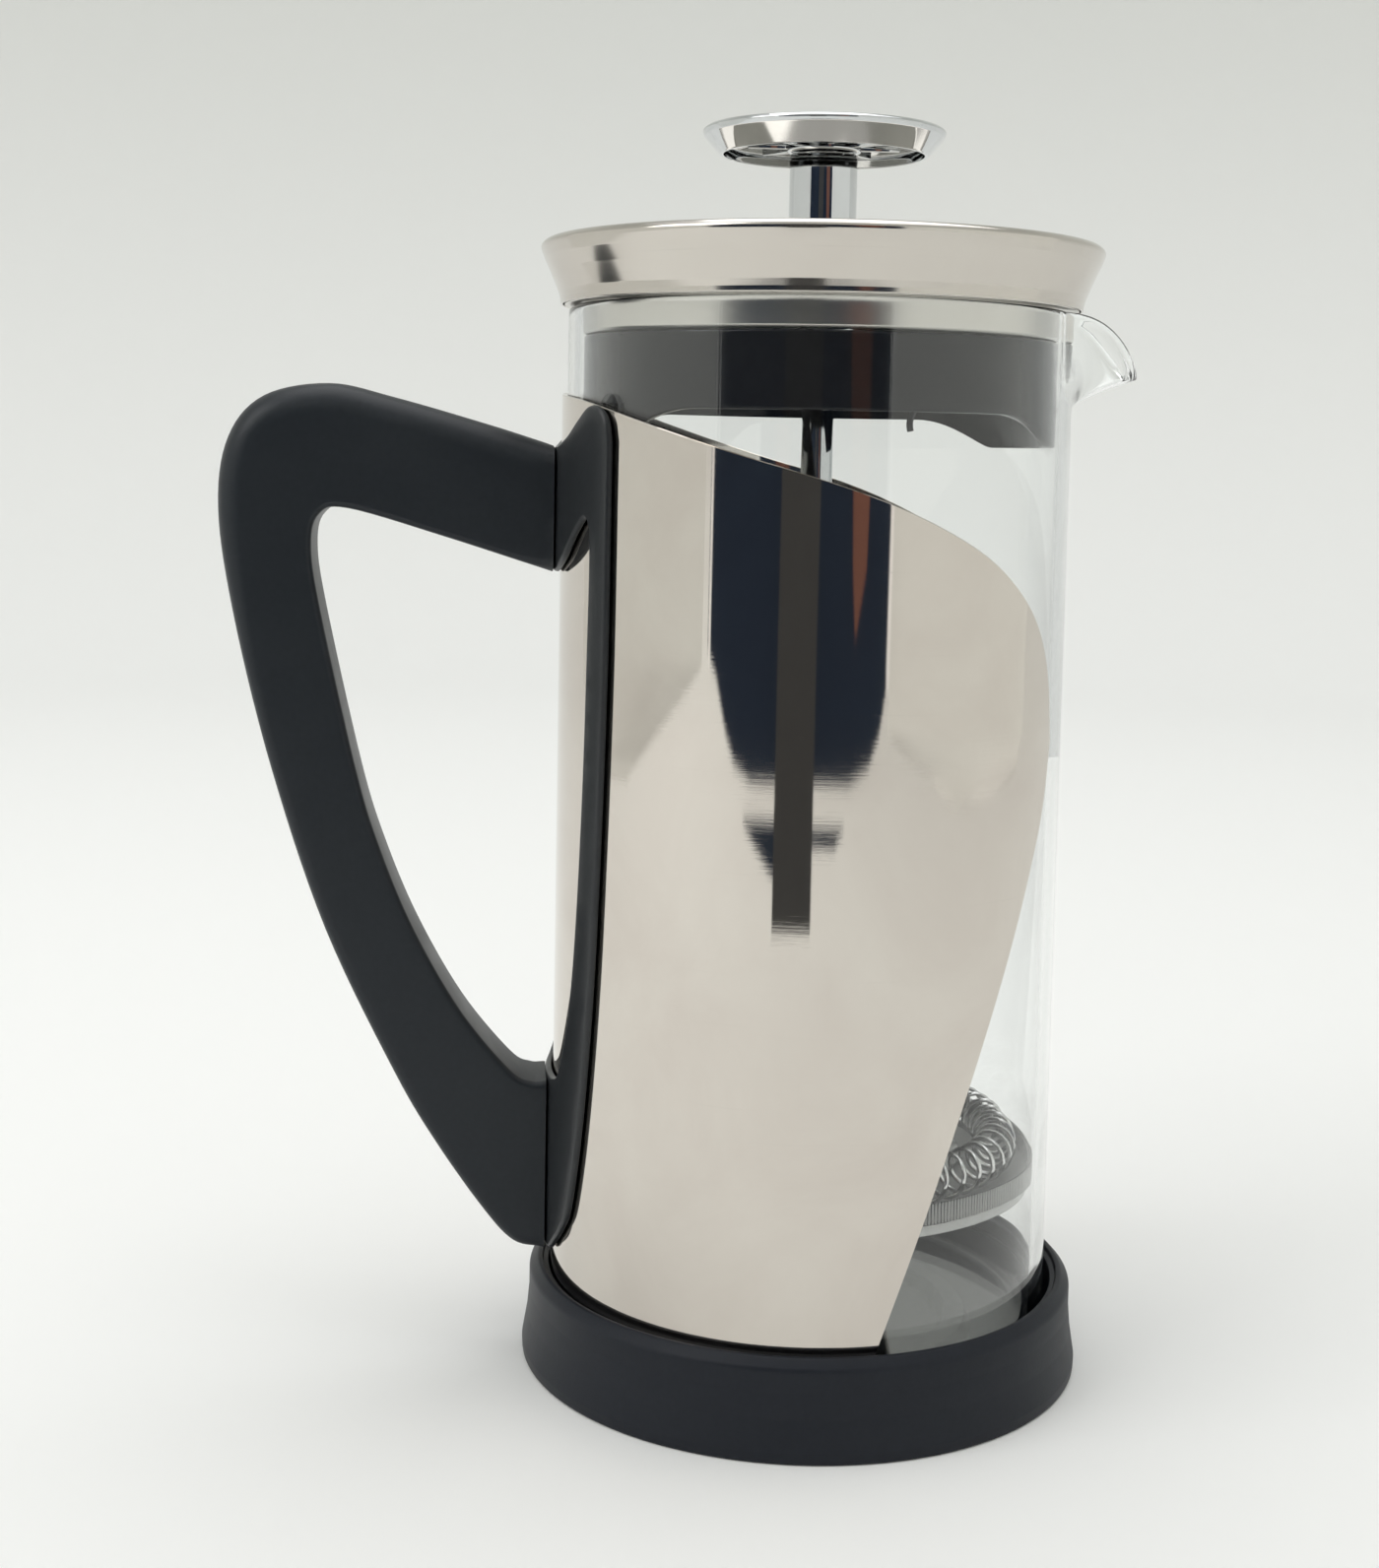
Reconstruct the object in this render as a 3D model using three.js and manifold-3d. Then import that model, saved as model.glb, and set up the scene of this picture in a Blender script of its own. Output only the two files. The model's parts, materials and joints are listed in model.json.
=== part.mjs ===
// French press with a one-litre glass beaker in a polished steel sleeve and a black plastic handle.
// Millimetres, +Z up. The origin is the centre of the base's underside. The handle points along -X
// and the spout along +X.

import * as THREE from 'three';
import { mergeVertices } from 'three/addons/utils/BufferGeometryUtils.js';
import Module from 'manifold-3d';

const wasm = await Module();
wasm.setup();

// ---------------------------------------------------------------- driving dimensions

const TURN_STEPS = 40;                 // facets round a full turn
const GAP = 0.3;                       // clearance between pieces that touch

const beaker = {
  radius: 47.7,                        // outside
  wall: 2.2,
  floorThickness: 3.2,
  cornerRadius: 6,                     // outside bottom corner
  rimHeight: 201.6,                    // above the table
  spoutHeight: 18.6,                   // from where it leaves the wall up to the rim
  spoutReach: 13.6,                    // how far its tip stands out
  spoutDrop: 10.5,                     // how far its tip lies under the rim
  spoutHalfAngle: 27,
};

const base = {
  height: 18.2,
  wallClearance: 1.9,                  // between the sleeve and the base's wall
  footThickness: 3.4,
  waistThickness: 2.1,
  shoulderThickness: 2.8,
  floor: 4,
  seatHeight: 6.9,                     // ridge that carries the beaker
  seatRadius: 30,
  recessDepth: 1.2,                    // hollow under the floor
};

const sleeve = {
  thickness: 0.7,
  underRim: 16,                        // from the beaker's rim down to the top edge
  turn: -8,                            // set round from the handle, degrees
  noseAngle: 153.5,                    // how far each wing wraps round
  tabLength: 9,
  tabHalfAngle: 6,
};

const frame = {
  thickness: 1.2,
  topHalfAngle: 34.8,
  windowHalfAngle: 28,
};

const grip = {
  width: 16,
  edge: 2.6,                           // rounding of its long edges
};

const screw = {
  shankRadius: 1.4,
  headRadius: 2.9,
  gripDepth: 11,                       // length from its head into the grip
  upperShare: 0.871,                   // height on the sleeve, see onSleeve
  lowerShare: 0.118,
  baseHeadHeight: 1.2,
  baseHeadRadius: 2.6,
  baseAngles: [-80, 0, 80],
};

const lid = {
  rimOverhang: 5.5,                    // beyond the beaker's wall
  height: 12.1,                        // from the beaker's rim to the lid's
  footOverhang: 1.9,
  sheet: 0.8,
  recessWidth: 9.2,                    // from the rim in to the recess
  recessDepth: 4.5,
  bossWidth: 2.6,                      // round the bush
  bossDepth: 0.8,                      // under the lid's rim
  neckHeight: 6,                       // steel band inside the beaker
  neckClearance: 0.6,
};

const skirt = {
  thickness: 1.6,
  archHeight: 13.6,                    // height over the arches
  tabHeight: 19.2,                     // height at the two tabs
  tabHalfAngle: 35,                    // flat part of a tab
  archHalfAngle: 38,                   // flat part of an arch
  combSlots: 5,
  combSlotWidth: 1.6,
  combSlotHeight: 6,
};

const bush = { wall: 3.1, flangeWidth: 2.3, flangeHeight: 1.4, length: 10.4, nutWidth: 2.8, nutHeight: 2.6 };

const rod = { radius: 3, tipBelowNut: 0.6, runningGap: 0.1 };

const knob = {
  rimRadius: 23,
  faceRadius: 19.6,
  coneHeight: 5,
  height: 20.6,                        // from the bush to the top
  shell: 1.2,
  stemWall: 3.4,
  insertRadius: 14.5,
  ribs: 8,
  ribThickness: 1.2,
};

const filter = {
  wallClearance: 0.3,                  // mesh to beaker
  restHeight: 27.2,                    // over the beaker's floor, plunger down
  crossPlateThickness: 0.8,
  crossPlateInset: 1.8,                // inside the mesh's edge
  meshThickness: 0.5,
  bandHeight: 3,
  springInset: 3.4,                    // inside the mesh's edge
  springCoilRadius: 4.2,
  spiralInset: 2.4,                    // inside the spring
  spiralRise: 7,
  hubWall: 4,
  hubHeight: 9,
  nutWidth: 3.5,
  nutHeight: 3.2,
  holes: 8,
  holeRadius: 4.6,
};

// ---------------------------------------------------------------- values worked out from them

const beakerInner = beaker.radius - beaker.wall;
const beakerFoot = base.seatHeight + GAP;
const spoutStart = beaker.rimHeight - beaker.spoutHeight;
const beakerFloor = beakerFoot + beaker.floorThickness;
const sleeveInner = beaker.radius + GAP;
const sleeveOuter = sleeveInner + sleeve.thickness;
const frameInner = sleeveOuter + GAP;
const frameOuter = frameInner + frame.thickness;
const gripRoot = frameOuter + GAP;
const sleeveFoot = base.floor + GAP;
const sleeveTabTop = sleeveFoot + sleeve.thickness;
const sleeveTop = beaker.rimHeight - sleeve.underRim;
const baseWall = sleeveOuter + base.wallClearance;
const lidSeat = beaker.rimHeight + GAP;
const lidRim = lidSeat + lid.height;
const lidRimRadius = beaker.radius + lid.rimOverhang;
const lidFootRadius = beaker.radius + lid.footOverhang;
const lidBoss = lidRim - lid.bossDepth;
const coreTop = lidSeat + lid.sheet + 1.2;
const coreLow = coreTop - 3;
const bushRadius = rod.radius + rod.runningGap + bush.wall;
const bushTop = lidBoss + GAP + bush.flangeHeight;
const bossRadius = bushRadius + bush.flangeWidth + lid.bossWidth;
const neckRadius = beakerInner - lid.neckClearance;
const skirtTop = lidSeat - lid.neckHeight;
const skirtRadius = neckRadius - 0.2;
const knobFoot = bushTop + GAP;
const knobTop = knobFoot + knob.height;
const knobInsertTop = knobTop - knob.shell - GAP;
const knobInsertLow = knobInsertTop - 3;
const stemRadius = rod.radius + knob.stemWall;
const rodHole = rod.radius + GAP / 2;
const meshRadius = beakerInner - filter.wallClearance;
const crossPlateLow = beakerFloor + filter.restHeight;
const meshLow = crossPlateLow + filter.crossPlateThickness + GAP;
const springLow = meshLow + filter.meshThickness + GAP;
const springRadius = meshRadius - filter.springInset - filter.springCoilRadius;
const spiralRadius = springRadius - filter.springCoilRadius - filter.spiralInset;
const hubRadius = rod.radius + filter.hubWall;
const filterNutTop = crossPlateLow - GAP;
const filterNutLow = filterNutTop - filter.nutHeight;
const screwAngles = screw.baseAngles.map((angle) => angle + sleeve.turn);

// ---------------------------------------------------------------- geometry helpers

const radians = THREE.MathUtils.degToRad;

// A height on the sleeve: 0 at the top of the base, 1 at the sleeve's top edge.
const onSleeve = (share) => base.height + share * (sleeveTop - base.height);

// A closed mesh as a solid; its faces are turned outwards first.
function solidOf(geometry) {
  const plain = geometry.index ? geometry.toNonIndexed() : geometry.clone();
  plain.deleteAttribute('normal');
  plain.deleteAttribute('uv');
  const merged = mergeVertices(plain, 1e-4);
  const p = merged.attributes.position;
  const index = merged.index.array;
  const triangles = [];
  let volume = 0;
  const a = new THREE.Vector3();
  const b = new THREE.Vector3();
  const c = new THREE.Vector3();
  for (let i = 0; i < index.length; i += 3) {
    const [u, v, w] = [index[i], index[i + 1], index[i + 2]];
    if (u === v || v === w || w === u) continue;
    triangles.push(u, v, w);
    a.fromBufferAttribute(p, u);
    b.fromBufferAttribute(p, v);
    c.fromBufferAttribute(p, w);
    volume += a.dot(b.cross(c)) / 6;
  }
  if (volume < 0) {
    for (let i = 0; i < triangles.length; i += 3) {
      [triangles[i], triangles[i + 1]] = [triangles[i + 1], triangles[i]];
    }
  }
  return new wasm.Manifold(new wasm.Mesh({
    numProp: 3,
    vertProperties: new Float32Array(p.array),
    triVerts: new Uint32Array(triangles),
  }));
}

function geometryOf(solid) {
  const mesh = solid.getMesh();
  const geometry = new THREE.BufferGeometry();
  geometry.setAttribute('position', new THREE.BufferAttribute(new Float32Array(mesh.vertProperties), 3));
  geometry.setIndex(new THREE.BufferAttribute(new Uint32Array(mesh.triVerts), 1));
  geometry.computeVertexNormals();
  return geometry;
}

const cut = (solid, ...tools) => tools.reduce((rest, tool) => rest.subtract(tool), solid);
const join = (solid, ...others) => others.reduce((sum, other) => sum.add(other), solid);

// Points of a circular arc in a profile, from one angle to another.
function arc(r, z, radius, from, to, steps = 5) {
  const points = [];
  for (let i = 0; i <= steps; i += 1) {
    const t = radians(from + ((to - from) * i) / steps);
    points.push([r + radius * Math.cos(t), z + radius * Math.sin(t)]);
  }
  return points;
}

// A profile of [radius, height] points turned round the vertical axis.
function turned(profile, steps = TURN_STEPS) {
  const onAxis = profile[0][0] === 0 && profile[profile.length - 1][0] === 0;
  const points = (onAxis ? profile : [...profile, profile[0]]).map(([r, z]) => new THREE.Vector2(r, z));
  const geometry = new THREE.LatheGeometry(points, steps);
  geometry.rotateX(Math.PI / 2);
  return solidOf(geometry);
}

function ring(innerRadius, outerRadius, low, high, steps) {
  return turned([[innerRadius, low], [outerRadius, low], [outerRadius, high], [innerRadius, high]], steps);
}

function disc(radius, low, high, steps) {
  return turned([[0, low], [radius, low], [radius, high], [0, high]], steps);
}

// A point on a circle; 0 degrees is the handle's side, and positive angles go round by -Y.
function around(angle, radius, height) {
  return [-radius * Math.cos(radians(angle)), -radius * Math.sin(radians(angle)), height];
}

// A bent plate: at each angle it fills the heights between low and high. A closed one goes all
// the way round; an open one has two ends.
function bentPlate(innerRadius, outerRadius, angles, low, high, closed = false) {
  const positions = [];
  for (const angle of angles) {
    const [bottom, top] = [low(angle), high(angle)];
    positions.push(...around(angle, outerRadius, bottom), ...around(angle, outerRadius, top));
    positions.push(...around(angle, innerRadius, top), ...around(angle, innerRadius, bottom));
  }
  const last = (angles.length - 1) * 4;
  const index = closed ? [] : [0, 2, 1, 0, 3, 2, last, last + 1, last + 2, last, last + 2, last + 3];
  for (let column = 0; column < (closed ? last + 4 : last); column += 4) {
    const next = (column + 4) % (last + 4);
    for (let side = 0; side < 4; side += 1) {
      const other = (side + 1) % 4;
      index.push(column + side, column + other, next + other);
      index.push(column + side, next + other, next + side);
    }
  }
  const geometry = new THREE.BufferGeometry();
  geometry.setAttribute('position', new THREE.Float32BufferAttribute(positions, 3));
  geometry.setIndex(index);
  return solidOf(geometry);
}

function spread(from, to, steps) {
  return Array.from({ length: steps + 1 }, (_, i) => from + ((to - from) * i) / steps);
}

// Heights of an edge drawn as a smooth line through [angle, height] points, in rising angles.
function edgeLine(points) {
  const line = new THREE.SplineCurve(points.map(([angle, height]) => new THREE.Vector2(angle, height)));
  const samples = line.getPoints(points.length * 16);
  return (angle) => {
    const next = samples.findIndex((sample) => sample.x >= angle);
    if (next === -1) return samples[samples.length - 1].y;
    if (next === 0) return samples[0].y;
    const [before, after] = [samples[next - 1], samples[next]];
    return before.y + ((after.y - before.y) * (angle - before.x)) / (after.x - before.x);
  };
}

// A cylinder lying along X, from one distance out on the handle's side to another.
function lyingPin(radiusNear, radiusFar, from, to, height, steps = 12) {
  const geometry = new THREE.CylinderGeometry(radiusFar, radiusNear, to - from, steps);
  geometry.rotateZ(Math.PI / 2);
  geometry.translate(-(from + to) / 2, 0, height);
  return solidOf(geometry);
}

// ---------------------------------------------------------------- base and sleeve

function makeBase() {
  const { height, floor } = base;
  const foot = baseWall + base.footThickness;
  const waist = baseWall + base.waistThickness;
  const shoulder = baseWall + base.shoulderThickness;
  const profile = [
    [0, 0],
    [base.seatRadius, 0],
    [base.seatRadius + 1, base.recessDepth],
    [baseWall - 3, base.recessDepth],
    [baseWall - 2, 0],
    [foot - 0.6, 0],
    [foot, 1],
    [waist + 0.4, height * 0.5],
    [waist, height * 0.72],
    [shoulder, height * 0.84],
    [shoulder - 0.6, height * 0.96],
    [baseWall + 0.6, height],
    [baseWall, height - 0.4],
    [baseWall, floor],
    [base.seatRadius + 4, floor],
    [base.seatRadius + 3, base.seatHeight],
    [base.seatRadius - 1, base.seatHeight],
    [base.seatRadius - 2, floor],
    [0, floor],
  ];
  const bores = screwAngles.map((angle) => baseScrewBore(angle));
  return cut(turned(profile), ...bores);
}

function screwCentre(angle) {
  return around(angle, sleeveInner - sleeve.tabLength / 2, 0);
}

function baseScrewBore(angle) {
  const [x, y] = screwCentre(angle);
  return disc(screw.shankRadius + GAP, base.recessDepth + 0.8, base.floor + 3, 16).translate([x, y, 0]);
}

function makeBaseScrew(angle) {
  const headLow = sleeveTabTop + GAP;
  const profile = [
    [0, base.recessDepth + 1.1],
    [screw.shankRadius, base.recessDepth + 1.6],
    [screw.shankRadius, headLow],
    [screw.baseHeadRadius, headLow],
    [screw.baseHeadRadius, headLow + screw.baseHeadHeight * 0.6],
    [screw.baseHeadRadius * 0.7, headLow + screw.baseHeadHeight],
    [0, headLow + screw.baseHeadHeight],
  ];
  const [x, y] = screwCentre(angle);
  return turned(profile, 12).translate([x, y, 0]);
}

// The sleeve's upper edge falls from the handle to a round nose on each wing, and its lower edge
// runs back from the nose down into the base.
function makeSleeve() {
  const nose = sleeve.noseAngle;
  const upper = edgeLine([
    [0, 1], [35, 0.984], [77, 0.93], [104, 0.889], [126, 0.839], [139, 0.793], [147, 0.748],
    [151.6, 0.695], [nose, 0.638],
  ].map(([angle, share]) => [angle, onSleeve(share)]));
  const lower = edgeLine([
    [101, sleeveFoot],
    ...[[112.6, 0.075], [128, 0.277], [144.4, 0.477], [150.6, 0.557], [nose, 0.62]]
      .map(([angle, share]) => [angle, onSleeve(share)]),
  ]);
  const angles = [
    ...spread(-nose, -140, 6), ...spread(-135, 135, 54), ...spread(140, nose, 6),
  ];
  const band = bentPlate(
    sleeveInner, sleeveOuter, angles,
    (angle) => (Math.abs(angle) < 101 ? sleeveFoot : lower(Math.abs(angle))),
    (angle) => upper(Math.abs(angle)),
  ).rotate([0, 0, sleeve.turn]);
  return cut(join(band, ...screwAngles.map(makeSleeveTab)), ...handleScrewBores());
}

// A tab bent in from the sleeve's foot, with the hole for a base screw.
function makeSleeveTab(angle) {
  const half = sleeve.tabHalfAngle;
  const tab = bentPlate(
    sleeveInner - sleeve.tabLength, sleeveInner + sleeve.thickness / 2,
    spread(angle - half, angle + half, 4),
    () => sleeveFoot, () => sleeveTabTop,
  );
  const [x, y] = screwCentre(angle);
  return tab.subtract(disc(screw.shankRadius + GAP, sleeveFoot - 2, sleeveTabTop + 2, 16).translate([x, y, 0]));
}

// ---------------------------------------------------------------- handle

// The shield-shaped frame lies on the sleeve, with a window between its two legs.
function makeFrame() {
  const edge = (...points) => edgeLine(points.map(([angle, share]) => [angle, onSleeve(share)]));
  const top = edge(
    [0, 0.939], [8, 0.941], [16, 0.952], [22, 0.972], [27, 0.98], [32, 0.975], [34, 0.961],
  );
  const outline = edge(
    [0, 0.023], [9, 0.026], [14, 0.042], [19, 0.065], [23, 0.097], [27.3, 0.189], [30.9, 0.336],
    [33, 0.507], [34.4, 0.698], [frame.topHalfAngle, 0.877],
  );
  const sill = edge(
    [0, 0.226], [12, 0.229], [17, 0.252], [21.8, 0.325], [24.6, 0.429], [26.6, 0.578], [27.6, 0.728],
    [frame.windowHalfAngle, 0.811],
  );
  const lintel = edge([0, 0.799], [6, 0.8], [14, 0.815], [22, 0.841], [frame.windowHalfAngle, 0.865]);
  const half = frame.topHalfAngle;
  const window = frame.windowHalfAngle;
  const plate = bentPlate(
    frameInner, frameOuter, spread(-half, half, 30),
    (angle) => outline(Math.abs(angle)), (angle) => top(Math.abs(angle)),
  );
  const opening = bentPlate(
    frameInner - 2, frameOuter + 2, spread(-window, window, 24),
    (angle) => sill(Math.abs(angle)), (angle) => lintel(Math.abs(angle)),
  );
  return cut(plate, opening, ...handleScrewBores());
}

// Outline of the grip in its own plane, through points [reach beyond its root, height on the sleeve].
function gripOutline() {
  const at = ([reach, share]) => new THREE.Vector2(-gripRoot - reach, onSleeve(share));
  const smooth = (steps, ...points) => new THREE.SplineCurve(points.map(at)).getPoints(steps);
  const back = smooth(
    32, [0, 0.939], [11.5, 0.961], [29.5, 0.99], [41.5, 1.004], [53.5, 0.989], [60.1, 0.943],
    [61.9, 0.865], [58.9, 0.75], [51.5, 0.572], [41.5, 0.393], [28.7, 0.232], [20.9, 0.151],
    [11.5, 0.07], [6.5, 0.035], [1.5, 0.023],
  );
  const hole = smooth(
    26, [2.5, 0.219], [6.5, 0.232], [15.9, 0.3], [24.7, 0.392], [31.1, 0.483], [35.7, 0.572],
    [42.5, 0.751], [44.3, 0.823], [42.9, 0.859], [37.5, 0.866], [19.5, 0.836], [0, 0.8],
  );
  const inside = (...shares) => shares.map((share) => at([-10, share]));
  return new THREE.Shape([...inside(0.937), ...back, ...inside(0.022, 0.22), ...hole, ...inside(0.799)]);
}

function makeGrip() {
  const geometry = new THREE.ExtrudeGeometry(gripOutline(), {
    depth: grip.width - 2 * grip.edge,
    curveSegments: 16,
    bevelThickness: grip.edge,
    bevelSize: grip.edge,
    bevelOffset: -grip.edge,
    bevelSegments: 2,
  });
  geometry.translate(0, 0, -grip.width / 2 + grip.edge);
  geometry.rotateX(Math.PI / 2);
  return cut(solidOf(geometry), disc(gripRoot, 0, knobTop), ...handleScrewBores());
}

function screwTip() {
  return sleeveInner + screw.gripDepth;
}

// A countersunk screw from inside the sleeve, through the frame, into the grip. With room round
// it, the same shape is the bore.
function makeHandleScrew(share, room = 0) {
  const { headRadius, shankRadius } = screw;
  const height = onSleeve(share);
  const neck = frameInner - 0.1;
  const head = lyingPin(headRadius + room, headRadius + room, sleeveInner + 0.2 - 4 * room, neck, height);
  const cone = lyingPin(headRadius + room, shankRadius + room, neck, frameOuter, height);
  const shank = lyingPin(shankRadius + room, shankRadius + room, frameOuter - 0.2, screwTip() + room, height);
  return join(head, cone, shank);
}

function handleScrewBores() {
  return [screw.upperShare, screw.lowerShare].map((share) => makeHandleScrew(share, GAP));
}

// ---------------------------------------------------------------- beaker

// One wall surface of the beaker at one angle: points from the floor's edge to the rim.
function wallColumn(radius, floorHeight, corner, bulge) {
  const rim = beaker.rimHeight - beaker.spoutDrop * bulge;
  const flow = spread(0, 1, 5).map((s) => [
    radius + beaker.spoutReach * bulge * s ** 1.5,
    spoutStart + (rim - spoutStart) * s,
  ]);
  return [...arc(radius - corner, floorHeight + corner, corner, -90, 0, 3), ...flow];
}

function spoutBulge(angle) {
  const away = Math.abs(angle - 180) / beaker.spoutHalfAngle;
  return away >= 1 ? 0 : Math.cos((away * Math.PI) / 2) ** 2;
}

function makeBeaker() {
  const angles = [...spread(0, 144, 18), ...spread(152, 208, 14), ...spread(216, 352, 17)];
  const { radius, wall, cornerRadius } = beaker;
  const columns = angles.map((angle) => {
    const bulge = spoutBulge(angle);
    const outer = wallColumn(radius, beakerFoot, cornerRadius, bulge);
    const inner = wallColumn(beakerInner, beakerFloor, cornerRadius - wall, bulge);
    return [...outer, ...inner.reverse()].map(([r, z]) => around(angle, r, z));
  });
  return shellOf(columns, [0, 0, beakerFoot], [0, 0, beakerFloor]);
}

// A closed skin through columns of points round the axis, ending on two points of the axis.
function shellOf(columns, first, last) {
  const rows = columns[0].length;
  const positions = [...columns.flat(2), ...first, ...last];
  const [start, end] = [columns.length * rows, columns.length * rows + 1];
  const index = [];
  columns.forEach((column, i) => {
    const [here, next] = [i * rows, ((i + 1) % columns.length) * rows];
    index.push(start, here, next);
    index.push(end, next + rows - 1, here + rows - 1);
    for (let row = 0; row < rows - 1; row += 1) {
      index.push(here + row, here + row + 1, next + row + 1);
      index.push(here + row, next + row + 1, next + row);
    }
  });
  const geometry = new THREE.BufferGeometry();
  geometry.setAttribute('position', new THREE.Float32BufferAttribute(positions, 3));
  geometry.setIndex(index);
  return solidOf(geometry);
}

// ---------------------------------------------------------------- lid

function makeLidShell() {
  const { sheet } = lid;
  const hole = bushRadius + GAP;
  const recess = lidRimRadius - lid.recessWidth;
  const recessHeight = lidRim - lid.recessDepth;
  return turned([
    [hole, lidBoss],
    [bossRadius, lidBoss],
    [recess - 8, recessHeight + 0.6],
    [recess, recessHeight],
    [lidRimRadius - 4.6, lidRim - 1.2],
    ...arc(lidRimRadius - 1.2, lidRim - 1.2, 1.2, 110, -20, 5),
    [lidFootRadius + 1.6, lidSeat + 4],
    [lidFootRadius, lidSeat + 1.4],
    [lidFootRadius, lidSeat + 0.1],
    [lidFootRadius - sheet, lidSeat + 0.1],
    [lidFootRadius - sheet, lidSeat + 1.4],
    [lidFootRadius + 1.4 - sheet, lidSeat + 4.2],
    [lidRimRadius - 1.6 - sheet, lidRim - 2.4],
    [lidRimRadius - 4.4, lidRim - 2.4],
    [recess, recessHeight - sheet],
    [recess - 8, recessHeight + 0.6 - sheet],
    [bossRadius, lidBoss - sheet],
    [hole, lidBoss - sheet],
  ]);
}

// The steel neck: a seat on the beaker's rim and the band that centres the lid in the beaker.
function makeLidNeck() {
  const seatOuter = lidFootRadius - lid.sheet - GAP;
  return turned([
    [neckRadius, skirtTop + GAP],
    [neckRadius, lidSeat],
    [seatOuter, lidSeat],
    [seatOuter, lidSeat + lid.sheet],
    [neckRadius - lid.sheet, lidSeat + lid.sheet],
    [neckRadius - lid.sheet, skirtTop + GAP],
  ]);
}

// The plastic core that ties the lid's pieces to the bush.
function makeLidCore() {
  const outer = neckRadius - lid.sheet - GAP;
  const hole = bushRadius + GAP;
  const underBoss = lidBoss - lid.sheet - GAP;
  return turned([
    [hole, coreLow],
    [outer, coreLow],
    [outer, coreTop],
    [bossRadius + 4, coreTop],
    [bossRadius - 1, underBoss],
    [hole, underBoss],
  ]);
}

// The skirt under the neck: two long tabs, arches between them and a comb in the tab by the handle.
function makeLidSkirt() {
  const { archHeight, tabHeight, tabHalfAngle, archHalfAngle, thickness } = skirt;
  const fall = (angle) => {
    const away = Math.abs(((angle + 90) % 180 + 180) % 180 - 90);
    const t = THREE.MathUtils.smoothstep(away, tabHalfAngle, 90 - archHalfAngle);
    return skirtTop - tabHeight + (tabHeight - archHeight) * t;
  };
  const wall = bentPlate(
    skirtRadius - thickness, skirtRadius, spread(0, 355, 71), fall, () => skirtTop, true,
  );
  const topRing = ring(skirtRadius - 6, skirtRadius - thickness / 2, skirtTop - thickness, skirtTop, 36);
  const slots = spread(-8, 8, skirt.combSlots - 1).map((angle) => {
    const geometry = new THREE.BoxGeometry(8, skirt.combSlotWidth, skirt.combSlotHeight);
    geometry.translate(-skirtRadius, 0, skirtTop - archHeight - skirt.combSlotHeight / 2 + 2);
    geometry.rotateZ(radians(angle));
    return solidOf(geometry);
  });
  return cut(join(wall, topRing), ...slots);
}

function makeBush() {
  const bore = rod.radius + rod.runningGap;
  const flangeLow = bushTop - bush.flangeHeight;
  return turned([
    [bore, flangeLow - bush.length],
    [bushRadius, flangeLow - bush.length],
    [bushRadius, flangeLow],
    [bushRadius + bush.flangeWidth, flangeLow],
    [bushRadius + bush.flangeWidth - 0.8, bushTop],
    [bore, bushTop],
  ], 32);
}

function makeBushNut() {
  const top = coreLow - GAP;
  const low = top - bush.nutHeight;
  return cut(disc(bushRadius + bush.nutWidth, low, top, 6), disc(bushRadius + GAP / 2, low - 1, top + 1, 32));
}

// ---------------------------------------------------------------- plunger

function makeRod() {
  const low = filterNutLow - rod.tipBelowNut;
  const top = knobInsertTop - 2;
  return turned([
    [0, low],
    [rod.radius - 0.5, low],
    [rod.radius, low + 0.5],
    [rod.radius, top - 0.5],
    [rod.radius - 0.5, top],
    [0, top],
  ], 24);
}

// The domed spiral plate that presses the filter together.
function makeSpiralPlate() {
  const low = springLow + 1.2;
  const sheet = 0.8;
  const crown = low + filter.spiralRise;
  const shoulder = low + filter.spiralRise * 0.6;
  return turned([
    [rodHole, crown],
    [hubRadius, crown],
    [spiralRadius * 0.7, shoulder],
    [spiralRadius, low],
    [spiralRadius, low - sheet],
    [spiralRadius * 0.7, shoulder - sheet],
    [hubRadius, crown - sheet],
    [rodHole, crown - sheet],
  ], 36);
}

function makeFilterHub() {
  const low = springLow + 1.2 + filter.spiralRise + GAP;
  return ring(rodHole, hubRadius, low, low + filter.hubHeight, 32);
}

// The edge spring's envelope; it holds the mesh out against the beaker.
function makeEdgeSpring() {
  const coil = filter.springCoilRadius;
  return turned(arc(springRadius, springLow + coil, coil, 0, 315, 7), 36);
}

// The mesh is a thin disc with an upturned band at its edge.
function makeMesh() {
  const { meshThickness, bandHeight } = filter;
  const meshTop = meshLow + meshThickness;
  return turned([
    [rodHole, meshLow],
    [meshRadius, meshLow],
    [meshRadius, meshTop + bandHeight],
    [meshRadius - meshThickness, meshTop + bandHeight],
    [meshRadius - meshThickness, meshTop],
    [rodHole, meshTop],
  ]);
}

// The cross plate under the mesh, with a ring of holes and a turned-down edge.
function makeCrossPlate() {
  const low = crossPlateLow;
  const top = low + filter.crossPlateThickness;
  const radius = meshRadius - filter.crossPlateInset;
  const plate = turned([
    [rodHole, low],
    [radius - 1.2, low],
    [radius, low - 1.4],
    [radius + 0.6, low - 1.4],
    [radius + 0.2, top],
    [rodHole, top],
  ]);
  const holes = [];
  for (let i = 0; i < filter.holes; i += 1) {
    const [x, y] = around((360 * i) / filter.holes, radius * 0.66, 0);
    holes.push(disc(filter.holeRadius, low - 3, low + 3, 12).translate([x, y, 0]));
  }
  return cut(plate, ...holes);
}

function makeFilterNut() {
  const nut = disc(rod.radius + filter.nutWidth, filterNutLow, filterNutTop, 6);
  return nut.subtract(disc(rodHole, filterNutLow - 1, filterNutTop + 1, 24));
}

// ---------------------------------------------------------------- knob

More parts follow.
